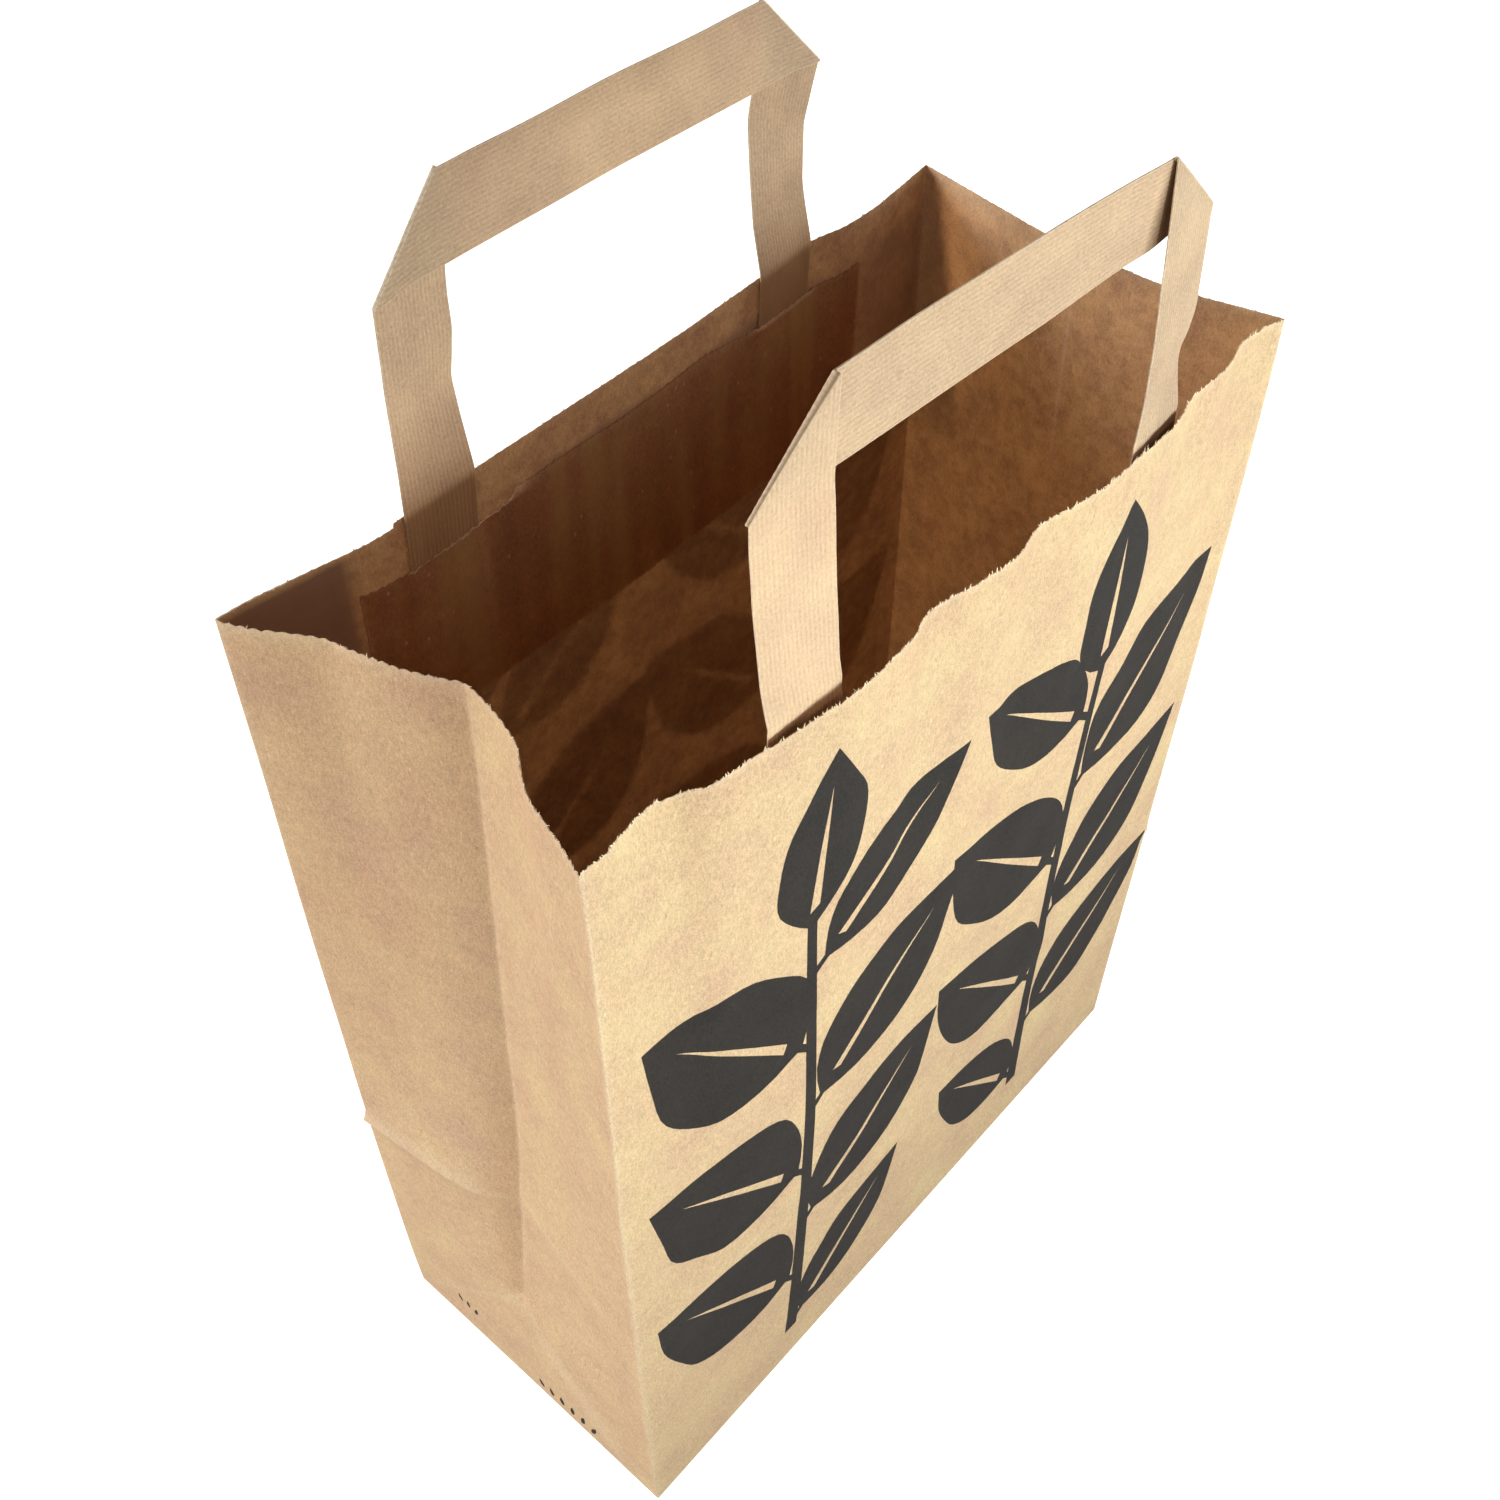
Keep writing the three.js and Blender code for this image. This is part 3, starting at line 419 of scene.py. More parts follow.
# ------------------------------------------------------------------ collecting a mesh
class Mesh:
    def __init__(self):
        self.points, self.count, self.faces, self.slots = [], 0, [], []
        self.extra = {}

    def add(self, pts, **extra):
        pts = np.asarray(pts, float).reshape(-1, 3)
        ids = np.arange(self.count, self.count + len(pts))
        self.points.append(pts)
        for k in extra:
            self.extra.setdefault(k, [])
        for k, runs in self.extra.items():
            have = sum(len(r) for r in runs)
            v = np.asarray(extra.get(k, 0.0), float)
            shape = (len(pts), 3) if k == "tape" else (len(pts),)
            if have < self.count:
                runs.append(np.zeros((self.count - have,) + shape[1:]))
            runs.append(np.broadcast_to(v.reshape(shape) if v.size == np.prod(shape) else v, shape))
        self.count += len(pts)
        return ids

    def tris(self, t, slot=0):
        t = np.asarray(t, int).reshape(-1, 3)
        keep = (t[:, 0] != t[:, 1]) & (t[:, 1] != t[:, 2]) & (t[:, 0] != t[:, 2])
        self.faces.append(t[keep])
        self.slots.append(np.broadcast_to(np.asarray(slot), (len(t),))[keep])

    def grid(self, ids, flip=False, slot=0):
        """Two triangles for each cell of a block of point numbers."""
        a, b, c, d = ids[:-1, :-1], ids[:-1, 1:], ids[1:, 1:], ids[1:, :-1]
        t = np.stack([np.stack([a, b, c], -1), np.stack([a, c, d], -1)], -2).reshape(-1, 3)
        self.tris(t[:, ::-1] if flip else t, slot)

    def comb(self, short, long, mark, flip=False, slot=0):
        out = []
        for i in range(len(mark) - 1):
            a, b = mark[i], mark[i + 1]
            m = (a + b) // 2
            p, q = short[i % len(short)], short[(i + 1) % len(short)]
            L = len(long)
            out += [(p, long[(k + 1) % L], long[k % L]) for k in range(a, m)]
            out.append((p, q, long[m % L]))
            out += [(q, long[(k + 1) % L], long[k % L]) for k in range(m, b)]
        t = np.array(out)
        self.tris(t[:, ::-1] if flip else t, slot)

    def make(self, name, materials, angle=30):
        pts = np.concatenate(self.points) * 0.001
        tri = np.concatenate(self.faces)
        slots = np.concatenate(self.slots)
        me = bpy.data.meshes.new(name)
        me.vertices.add(len(pts))
        me.vertices.foreach_set("co", pts.astype(np.float32).ravel())
        me.loops.add(len(tri) * 3)
        me.loops.foreach_set("vertex_index", tri.astype(np.int32).ravel())
        me.polygons.add(len(tri))
        me.polygons.foreach_set("loop_start", np.arange(0, len(tri) * 3, 3, dtype=np.int32))
        for m in materials:
            me.materials.append(m)
        me.polygons.foreach_set("material_index", slots.astype(np.int32))
        me.polygons.foreach_set("use_smooth", np.ones(len(tri), bool))
        me.update(calc_edges=True)
        me.validate()
        for k, runs in self.extra.items():
            v = np.concatenate(runs)
            if k == "tape":
                me.attributes.new(k, "FLOAT_VECTOR", "POINT").data.foreach_set("vector", v.astype(np.float32).ravel())
            else:
                me.attributes.new(k, "FLOAT", "POINT").data.foreach_set("value", v.astype(np.float32).ravel())
        me.set_sharp_from_angle(angle=math.radians(angle))
        ob = bpy.data.objects.new(name, me)
        bpy.context.scene.collection.objects.link(ob)
        return ob


# ------------------------------------------------------------------ materials
class Tree:
    """Short way to write a node material."""

    def __init__(self, name):
        self.mat = bpy.data.materials.new(name)
        self.mat.use_nodes = True
        self.t = self.mat.node_tree
        self.t.nodes.clear()
        self.out = self.t.nodes.new("ShaderNodeOutputMaterial")

    def node(self, kind, props=None, **inputs):
        n = self.t.nodes.new("ShaderNode" + kind)
        for k, v in (props or {}).items():
            setattr(n, k, v)
        for k, v in inputs.items():
            self.put(n, k, v)
        return n

    def put(self, n, key, v):
        name = key.replace("_", " ")
        s = n.inputs[int(key[1:])] if key[0] == "i" and key[1:].isdigit() else n.inputs[name]
        if isinstance(v, bpy.types.NodeSocket):
            self.t.links.new(v, s)
        else:
            s.default_value = v

    def math(self, op, a, b=0.0, c=0.0, clamp=False):
        n = self.node("Math", {"operation": op, "use_clamp": clamp}, i0=a, i1=b, i2=c)
        return n.outputs[0]

    def range(self, v, a, b, c=0.0, d=1.0):
        n = self.node("MapRange", {"interpolation_type": "SMOOTHSTEP"}, Value=v, From_Min=a, From_Max=b, To_Min=c, To_Max=d)
        return n.outputs[0]

    def mix(self, fac, a, b, blend="MIX"):
        n = self.t.nodes.new("ShaderNodeMix")
        n.data_type, n.blend_type = "RGBA", blend
        for i, v in ((0, fac), (6, a), (7, b)):
            if isinstance(v, bpy.types.NodeSocket):
                self.t.links.new(v, n.inputs[i])
            else:
                n.inputs[i].default_value = v if i == 0 else (*v, 1.0) if len(v) == 3 else v
        return n.outputs[2]

    def place(self, vector, scale):
        return self.node("Mapping", None, Vector=vector, Scale=scale).outputs[0]

    def noise(self, vector, scale, detail=2.0, rough=0.5, distortion=0.0):
        n = self.node("TexNoise", {"noise_dimensions": "3D"}, Vector=vector, Scale=scale, Detail=detail, Roughness=rough, Distortion=distortion)
        return n.outputs[0]

    def spots(self, vector, scale, size, share):
        """Scattered small spots: one in share of the cells has one."""
        n = self.node("TexVoronoi", {"feature": "F1"}, Vector=vector, Scale=scale, Randomness=1.0)
        near = self.range(n.outputs["Distance"], size, size * 0.45)
        red = self.node("SeparateColor", None, Color=n.outputs["Color"]).outputs[0]
        pick = self.math("LESS_THAN", red, share)
        return self.math("MULTIPLY", near, pick)

    def attribute(self, name, out="Fac"):
        return self.node("Attribute", {"attribute_name": name, "attribute_type": "GEOMETRY"}).outputs[out]

    def finish(self, shader):
        self.t.links.new(shader, self.out.inputs["Surface"])
        return self.mat


def srgb(r, g, b):
    f = lambda c: c / 12.92 if c <= 0.04045 else ((c + 0.055) / 1.055) ** 2.4
    return tuple(f(v / 255) for v in (r, g, b))


def kraft(name, colour, dark, pale, through_share, glow, show=False, ink=None, streak=0.0, blotch=0.24, rough=0.8):
    """Unbleached paper: clouds of fibre, long fibres, dark specks and pale flecks, light through the sheet."""
    m = Tree(name)
    where = m.node("TexCoord").outputs["Object"]
    mm = m.place(where, (1000, 1000, 1000))
    cloud = m.noise(mm, 0.055, 2.0, 0.55)
    form = m.noise(mm, 0.46, 2.0, 0.6)
    fibre = m.noise(m.place(where, (2300, 2300, 760)), 1.0, 2.0, 0.6, 0.6)
    grain = m.noise(mm, 2.7, 1.0, 0.6)
    v = m.math("MULTIPLY_ADD", m.math("SUBTRACT", cloud, 0.5), blotch, 1.0)
    v = m.math("MULTIPLY_ADD", m.math("SUBTRACT", form, 0.5), 0.30, v)
    v = m.math("MULTIPLY_ADD", m.math("SUBTRACT", fibre, 0.5), 0.68, v)
    v = m.math("MULTIPLY_ADD", m.math("SUBTRACT", grain, 0.5), 0.64, v)
    if streak:
        lines = m.noise(m.place(where, (115, 115, 10)), 1.0, 1.5, 0.5)
        v = m.math("MULTIPLY_ADD", m.math("SUBTRACT", lines, 0.5), streak, v)
    hue = m.math("MULTIPLY_ADD", m.math("SUBTRACT", cloud, 0.5), 0.045, 0.499)
    if show:
        damp = m.noise(mm, 0.24, 2.0, 0.55)
        damp = m.range(damp, 0.36, 0.64, -0.5, 0.5)
        v = m.math("MULTIPLY_ADD", damp, 0.15, v)
        hue = m.math("MULTIPLY_ADD", damp, 0.010, hue)
    base = m.node("HueSaturation", None, Hue=hue, Saturation=1.0, Value=v, Color=(*colour, 1)).outputs[0]
    if not show:
        flecks = m.math("MULTIPLY", m.spots(m.place(where, (1000, 1000, 420)), 0.40, 0.14, 0.34), 0.42)
        base = m.mix(flecks, base, pale)
    specks = m.math("MULTIPLY", m.spots(m.place(where, (1000, 1000, 560)), 0.20, 0.075, 0.36), 0.62)
    base = m.mix(specks, base, dark)
    shives = m.math("MULTIPLY", m.spots(m.place(where, (1000, 1000, 340)), 0.042, 0.024, 0.30), 0.60)
    base = m.mix(shives, base, dark)
    if streak > 0.3:
        base = m.mix(m.range(lines, 0.50, 0.68, 0.0, 0.55), base, tuple(c * k for c, k in zip(colour, (1.12, 1.42, 1.30))))
    if not show and not ink:
        # painted shade: the colour is multiplied darker where this mask is set, on the left gusset and beside the
        # bottom flaps
        base = m.mix(m.attribute("stain"), base, (0.965, 0.90, 0.885), "MULTIPLY")
    if show:
        seen = m.math("MULTIPLY", m.attribute("show"), 0.10)
        base = m.mix(seen, base, tuple(c * k for c, k in zip(colour, (0.55, 0.5, 0.48))))
        # the colour inside is darkened at the lap, a second layer, and elsewhere as painted shade low on the back, at
        # its right end and in the corner beside it
        base = m.mix(m.math("MULTIPLY", m.attribute("lap"), 0.72, clamp=True), base, tuple(c * k for c, k in zip(colour, (0.50, 0.46, 0.60))))
    if ink:
        wet = m.math("MULTIPLY_ADD", m.math("SUBTRACT", fibre, 0.5), 0.8, m.math("MULTIPLY_ADD", m.math("SUBTRACT", cloud, 0.5), 0.5, 1.0))
        wet = m.math("MULTIPLY_ADD", m.math("SUBTRACT", grain, 0.5), 0.6, wet)
        full = m.node("HueSaturation", None, Hue=0.5, Saturation=1.0, Value=wet, Color=(*ink, 1)).outputs[0]
        holes = m.math("MULTIPLY", m.range(grain, 0.66, 0.80), 0.07)
        base = m.mix(holes, full, base)
    else:
        # pale where worn, and painted highlight where the mask marks light falling on folds, edges and the inside of
        # the right gusset
        worn_and_lit = m.math("MULTIPLY", m.attribute("wear"), m.range(grain, 0.25, 0.65, 0.45, 1.0))
        base = m.mix(m.math("MULTIPLY", worn_and_lit, 0.62), base, pale)
    height = m.math("MULTIPLY_ADD", fibre, 0.6, m.math("MULTIPLY", grain, 0.7))
    if show:
        height = grain
    bump = m.node("Bump", None, Strength=0.5 if not ink else 0.35, Distance=0.00007, Height=height).outputs[0]
    gloss = m.math("MULTIPLY_ADD", fibre, 0.14, rough - 0.07)
    skin = m.node("BsdfPrincipled", None, Base_Color=base, Roughness=gloss, Specular_IOR_Level=0.24 if not ink else 0.10, Normal=bump)
    if through_share:
        lit_v, share = v, through_share
        if show:
            # the printing on the other side and the second layer at the lap hold the light back; where the mask marks
            # painted shade it also lets less light through
            lit_v = m.math("MULTIPLY", v, m.math("MULTIPLY_ADD", m.attribute("show"), -0.62, 1.0))
            share = m.math("MULTIPLY_ADD", m.attribute("lap"), -0.6 * through_share, through_share)
        elif name == "kraft_outside":
            share = m.math("MULTIPLY_ADD", m.attribute("thin"), 0.18, through_share)
        lit = m.node("HueSaturation", None, Hue=0.5, Saturation=1.0, Value=lit_v, Color=(*glow, 1)).outputs[0]
        back = m.node("BsdfTranslucent", None, Color=lit)
        both = m.node("MixShader", None, i0=share, i1=skin.outputs[0], i2=back.outputs[0])
        return m.finish(both.outputs[0])
    return m.finish(skin.outputs[0])


def tape_material(name, colour, dark, pale):
    """Ribbed paper tape: fine lines along it, pressed plies, fibres along its length."""
    m = Tree(name)
    where = m.node("TexCoord").outputs["Object"]
    mm = m.place(where, (1000, 1000, 1000))
    along = m.attribute("tape", "Vector")
    across = m.node("SeparateXYZ", None, Vector=along).outputs[0]
    fibre = m.noise(m.place(along, (1.7, 1.1, 1)), 1.0, 2.0, 0.65, 0.5)
    cloud = m.noise(mm, 0.10, 2.0, 0.55)
    grain = m.noise(mm, 2.0, 1.0, 0.6)
    broad = m.noise(mm, 0.05, 2.0, 0.5)
    broken = m.noise(m.place(along, (0.9, 0.40, 1)), 1.0, 2.0, 0.6)
    rib = m.math("COSINE", m.math("MULTIPLY", across, 2 * math.pi / 1.09))
    rib = m.math("MULTIPLY", rib, m.range(broken, 0.32, 0.68, 0.2, 1.5))
    # painted light and shade: lengths of tape made lighter or darker, and darker in the folds and at the leg ends
    v = m.math("MULTIPLY_ADD", rib, 0.062, m.attribute("tone"))
    v = m.math("MULTIPLY_ADD", m.math("SUBTRACT", broad, 0.5), 0.20, v)
    v = m.math("MULTIPLY_ADD", m.math("SUBTRACT", fibre, 0.5), 0.42, v)
    v = m.math("MULTIPLY_ADD", m.math("SUBTRACT", cloud, 0.5), 0.16, v)
    v = m.math("MULTIPLY_ADD", m.math("SUBTRACT", grain, 0.5), 0.40, v)
    hue = m.math("MULTIPLY_ADD", m.math("SUBTRACT", broad, 0.5), 0.02, 0.4965)
    base = m.node("HueSaturation", None, Hue=hue, Saturation=1.0, Value=v, Color=(*colour, 1)).outputs[0]
    # painted shade tinted with warm bounce light on the back legs' ends below the rim
    base = m.mix(m.math("MULTIPLY", m.attribute("damp"), 0.85), base, (0.40, 0.222, 0.100))
    specks = m.math("MULTIPLY", m.spots(mm, 0.22, 0.07, 0.25), 0.5)
    base = m.mix(specks, base, dark)
    # pale worn edges, partly painted highlight, and a painted highlight on the back handle's folds
    worn_and_lit = m.math("MULTIPLY", m.attribute("wear"), m.range(grain, 0.25, 0.65, 0.4, 1.0))
    base = m.mix(m.math("MULTIPLY", worn_and_lit, 0.5), base, pale)
    # dark where the plies split, and painted shade in the folds, on the front legs below the rim and along the
    # back-left leg's outer edge
    base = m.mix(m.math("MULTIPLY", m.attribute("split"), 0.75), base, dark)
    height = m.math("MULTIPLY_ADD", fibre, 0.7, m.math("MULTIPLY", grain, 0.6))
    bump = m.node("Bump", None, Strength=0.5, Distance=0.00007, Height=height).outputs[0]
    gloss = m.math("MULTIPLY_ADD", fibre, 0.16, 0.66)
    skin = m.node("BsdfPrincipled", None, Base_Color=base, Roughness=gloss, Specular_IOR_Level=0.3, Normal=bump)
    lit = m.node("HueSaturation", None, Hue=0.5, Saturation=1.0, Value=v, Color=(0.95, 0.70, 0.47, 1)).outputs[0]
    back = m.node("BsdfTranslucent", None, Color=lit, Normal=bump)
    both = m.node("MixShader", None, i0=0.18, i1=skin.outputs[0], i2=back.outputs[0])
    return m.finish(both.outputs[0])


KRAFT = (0.540, 0.374, 0.216)
DARK = (0.22, 0.125, 0.06)
PALE = (0.82, 0.68, 0.48)
GLOW = (0.785, 0.528, 0.31)
INK = (0.0195, 0.0184, 0.0166)

outside = kraft("kraft_outside", KRAFT, DARK, PALE, 0.20, GLOW)
inside = kraft("kraft_inside", tuple(c * k for c, k in zip(KRAFT, (0.98, 0.905, 0.875))), DARK, PALE, 0.20, GLOW, show=True, blotch=0.5, streak=0.12)
black = kraft("kraft_printed", KRAFT, DARK, PALE, 0.12, GLOW, ink=INK, rough=0.62)
cut = kraft("kraft_cut_edge", (0.60, 0.45, 0.28), DARK, PALE, 0.0, GLOW)
# the patch colour is darkened as painted shade deep in the bag, and the pale of its torn edge is warmed as painted warm
# bounce light
glued = kraft("kraft_patch", tuple(c * k for c, k in zip(KRAFT, (0.73, 0.512, 0.39))), DARK, (0.96, 0.66, 0.44), 0.13, (0.80, 0.45, 0.24), streak=0.55, blotch=0.4)
ribbed = tape_material("ribbed_tape", (0.537, 0.372, 0.228), DARK, (0.78, 0.65, 0.48))


# ------------------------------------------------------------------ bag body
def spread(half, step):
    """Columns of one panel: close together at the folds."""
    mid = np.linspace(-half + ROUND, half - ROUND, int(round((2 * half - 2 * ROUND) / step)) + 1)
    e = ROUND * (1 - math.sin(math.pi / 8))
    return np.concatenate([[-half, -half + e], mid, [half - e, half]])


COLUMNS = {"F": spread(HW, 2.2), "B": spread(HW, 2.2), "R": np.sort(np.append(spread(HD, 2.475), [-0.7, 0.7])), "L": spread(HD, 2.475)}
ring_panel, ring_u = [], []
for p, us in (("F", COLUMNS["F"][:-1]), ("R", COLUMNS["R"][:-1]), ("B", COLUMNS["B"][:0:-1]), ("L", COLUMNS["L"][:0:-1])):
    ring_panel += [p] * len(us)
    ring_u += list(us)
ring_panel, ring_u = np.array(ring_panel), np.array(ring_u)
RING = len(ring_u)
FIRST = {p: int(np.nonzero(ring_panel == p)[0][0]) for p in "FRBL"}
CORNERS = [FIRST["F"], FIRST["R"], FIRST["B"], FIRST["L"]]

shade_from = lambda z: np.interp(z, [225, 254.7, 268, 276, 281], [33, 38.2, 41.7, 43.6, 46])

FOOT_ROWS = 4  # the rounded bottom fold
rows = np.concatenate([
    ROUND * (1 - np.cos(np.radians([0, 30, 60, 90]))),
    np.arange(1, 21) * 2.75,
    np.linspace(APEX, 95.2, 16)[1:],
    [96.6, 97.4, 98.0, 98.6, 99.4, 100.8],
    np.linspace(103.2, 206, 40),
    np.linspace(208.3, TOP_ROW, 31),
])
warp = np.where(rows < 98, ease((rows - 60) / 38), 1 - ease((rows - 98) / 40))


def body():
    m = Mesh()
    heights = np.empty((len(rows), RING))
    mid = np.empty((len(rows), RING, 3))
    for p in "FRBL":
        i = np.nonzero(ring_panel == p)[0]
        z = rows[:, None] + warp[:, None] * (fold_height[p](ring_u[i]) - 98)[None, :]
        heights[:, i] = z
        mid[:, i] = sheet_point(p, ring_u[i][None, :], z)
    # upright folds are rounded
    for c in CORNERS:
        a, b, d, e = (c - 2) % RING, (c - 1) % RING, (c + 1) % RING, (c + 2) % RING
        at = mid[:, c].copy()
        back, on = unit(mid[:, a] - at), unit(mid[:, e] - at)
        k, q = ROUND * (1 - math.sin(math.pi / 8)), ROUND * (1 - math.cos(math.pi / 8))
        mid[:, b] = at + k * back + q * on
        mid[:, d] = at + k * on + q * back
        mid[:, c] = at + ROUND * (1 - math.sqrt(0.5)) * (back + on)
    # and so is the fold round the bottom
    inset = ROUND * (1 - np.sin(np.radians([0, 30, 60, 90])))
    across = np.roll(mid, -1, 1) - np.roll(mid, 1, 1)
    flat = unit(np.cross(across[3], np.array([0, 0, 1.0])))
    for j in range(FOOT_ROWS):
        mid[j, :, :2] = mid[3, :, :2] - flat[:, :2] * inset[j]
    up = np.gradient(mid, axis=0)
    normal = unit(np.cross(np.roll(mid, -1, 1) - np.roll(mid, 1, 1), up))
    lap = (ring_panel == "B") & (ring_u < -HW + LAP)
    inner = SHEET / 2 + np.where(lap, SHEET, 0.0)

    # lighter fibres show on the folds, and on the upright folds the pale line is also a painted highlight
    half = np.array([HALF[p] for p in ring_panel])
    side = half - np.abs(ring_u)
    away = np.stack([np.abs(heights[:, i] - fold_height[ring_panel[i]](ring_u[i])) for i in range(RING)], 1)
    strength = np.array([min(1.0, float(fold_size[p](u))) for p, u in zip(ring_panel, ring_u)])

    def wear(side, away, strength, z):
        folds = np.maximum(0.62 * np.exp(-((side / 0.7) ** 2)), 0.44 * strength * np.exp(-((away / 0.9) ** 2)))
        return np.maximum(folds, 0.4 * np.exp(-((z / 1.0) ** 2)))

    worn_and_lit = wear(side[None, :], away, strength[None, :], heights)
    out_ids = m.add((mid + normal * SHEET / 2).reshape(-1, 3), wear=worn_and_lit.ravel(), show=0.0).reshape(len(rows), RING)

    # the design shows through to the inside
    show = np.zeros((len(rows), RING))
    for p in "FB":
        i = np.nonzero(ring_panel == p)[0]
        total = 0
        taps = [(0, 0)] + [(rr * math.cos(k * math.pi / 4), rr * math.sin(k * math.pi / 4)) for rr in (0.6, 1.2) for k in range(8)]
        for du, dz in taps:
            pts = np.stack([np.broadcast_to(ring_u[i] + du, heights[:, i].shape).ravel(), (heights[:, i] + dz).ravel()], -1)
            total = total + printed(p, pts).astype(float)
        show[:, i] = total.reshape(len(rows), -1) / len(taps)
    # more or less light comes through where glue and a second layer hold it back; the same mask darkens the colour
    # inside, which is painted shade where no second layer lies
    on_back, on_right = ring_panel == "B", ring_panel == "R"
    # painted shade: the inside of the back is darkened low down and towards its right end, and lets less light through
    # there
    hold_and_painted_shade = np.where(on_back[None, :], np.maximum(0.28 * (1 - ease((heights - 252) / 22)), 0.95 * ease((ring_u[None, :] - 58) / 36) * ease((heights - 170) / 60) * (1 - 0.85 * ease((heights - 264) / 10))), 0.0)
    # the lap seam: a second layer that lets less light through, its colour darkened partly as painted shade
    hold_and_painted_shade = np.where(on_back[None, :], np.maximum(hold_and_painted_shade, 1.35 * ease((-79 - ring_u[None, :]) / 5)), hold_and_painted_shade)
    # a wavy darker band just above the patch's top edge, which lets less light through
    above_patch_band = 270.2 + 2.6 * noise(ring_u / 13, 0.5, 57) + 1.2 * noise(ring_u / 5, 2.5, 58)
    above_patch_band = ease((above_patch_band[None, :] - heights) / 2.2) * ease((heights - 258) / 4) * (ease((ring_u + 36) / 8) * ease((72 - ring_u) / 6))[None, :]
    hold_and_painted_shade = np.where(on_back[None, :], np.maximum(hold_and_painted_shade, 1.15 * above_patch_band), hold_and_painted_shade)
    # painted shade: the corner beside the back is darkened and lets less light through
    bound = shade_from(heights)
    corner = np.where(on_right[None, :], ease((ring_u[None, :] - bound + 1.5) / 5) * ease((heights - 195) / 30), 0.0)
    hold_and_painted_shade = np.maximum(hold_and_painted_shade, 0.9 * corner)
    # beside it more light comes through
    bright = 0.6 * ease((ring_u[None, :] - 8) / 24) + 1.8 * np.exp(-(((ring_u[None, :] - bound + 3) / 6) ** 2))
    hold_and_painted_shade = np.where(on_right[None, :], hold_and_painted_shade - 0.87 * bright * ease((heights - 205) / 50) * (1 - corner), hold_and_painted_shade)
    # painted light: the inside of the right gusset is paled where light falls on it, beside the shaded corner
    lit = 0.6 * ease((ring_u[None, :] - 8) / 24) + 0.8 * np.exp(-(((ring_u[None, :] - bound + 3) / 5) ** 2))
    lit = np.where(on_right[None, :], lit * (1 - corner) * ease((heights - 205) / 50), 0.0)
    worn_and_lit_in = worn_and_lit * 0.5 + np.where(on_right[None, :], 0.7 * np.exp(-((ring_u[None, :] / 0.6) ** 2)) * ease((heights - 120) / 40), 0.0)
    worn_and_lit_in = worn_and_lit_in + 0.85 * lit
    in_ids = m.add((mid - normal * inner[None, :, None]).reshape(-1, 3), wear=worn_and_lit_in.ravel(), show=show.ravel(), lap=hold_and_painted_shade.ravel()).reshape(len(rows), RING)

    wrap = lambda ids: np.concatenate([ids, ids[:, :1]], 1)
    m.grid(wrap(in_ids[FOOT_ROWS - 1:]), flip=True, slot=2)
    m.grid(wrap(out_ids[:FOOT_ROWS]), slot=0)
    # strips over the upright folds
    for c in CORNERS:
        pick = [(c + k) % RING for k in (-2, -1, 0, 1, 2)]
        m.grid(out_ids[FOOT_ROWS - 1:][:, pick], slot=0)

    # outer face of each panel, cut along the edges of the design and along the creases
    for p in "FRBL":
        us = COLUMNS[p][2:-2]
        if p in "FR":
            cols = [FIRST[p] + 2 + k for k in range(len(us))]
        else:
            cols = [FIRST[p] + len(COLUMNS[p]) - 1 - (2 + k) for k in range(len(us))]
        grid_ids, grid_z = out_ids[FOOT_ROWS - 1:][:, cols], heights[FOOT_ROWS - 1:][:, cols]
        edge_ids = np.concatenate([grid_ids[0, :-1], grid_ids[:-1, -1], grid_ids[-1, :0:-1], grid_ids[:0:-1, 0]])
        edge_u = np.broadcast_to(us[None, :], grid_z.shape)
        loop = lambda a: np.concatenate([a[0, :-1], a[:-1, -1], a[-1, :0:-1], a[:0:-1, 0]])
        edge_pts = np.stack([loop(edge_u), loop(grid_z)], -1)
        lo_u, hi_u, lo_z, hi_z = us[0], us[-1], grid_z[0, 0], grid_z[-1, 0]
        lines = []
        cu = np.arange(lo_u + 1.6, hi_u - 0.8, 1.7)
        for dz in (-0.7, 0.0, 0.7):
            lines.append(np.stack([cu, fold_height[p](cu) + dz], -1))
        if p in "RL":
            cz = np.arange(APEX - 4, hi_z - 1.0, 2.3)
            for du in (-1.1, -0.45, 0.0, 0.45, 1.1):
                lines.append(np.stack([np.full_like(cz, du), cz], -1))
            for sign in (-1, 1):
                t = np.linspace(0.03, 1, 34)
                lines.append(np.stack([sign * HD * (1 - t), APEX * t], -1))
        for u_side, z_side in ((lo_u + 0.3, grid_z[1:-1, 0]), (hi_u - 0.3, grid_z[1:-1, -1])):
            lines.append(np.stack([np.full_like(z_side, u_side), z_side], -1))
        filled, open_ = PRINT[p]
        polys = [dense(q) for q in filled] + [dense(q) for q in open_]
        fixed = np.concatenate([edge_pts] + lines + polys)
        step = 2.35
        gu, gz = np.meshgrid(np.arange(lo_u, hi_u, step), np.arange(lo_z, hi_z, step * 0.866))
        gu = gu + (np.arange(len(gu)) % 2)[:, None] * step / 2
        gu = gu + 0.22 * noise(gu * 3.1, gz * 3.7, 91)
        gz = gz + 0.22 * noise(gu * 3.3 + 40, gz * 3.1, 92)
        free = np.stack([gu.ravel(), gz.ravel()], -1)
        free = free[(free[:, 0] > lo_u + 0.9) & (free[:, 0] < hi_u - 0.9) & (free[:, 1] > lo_z + 0.9) & (free[:, 1] < hi_z - 0.9)]
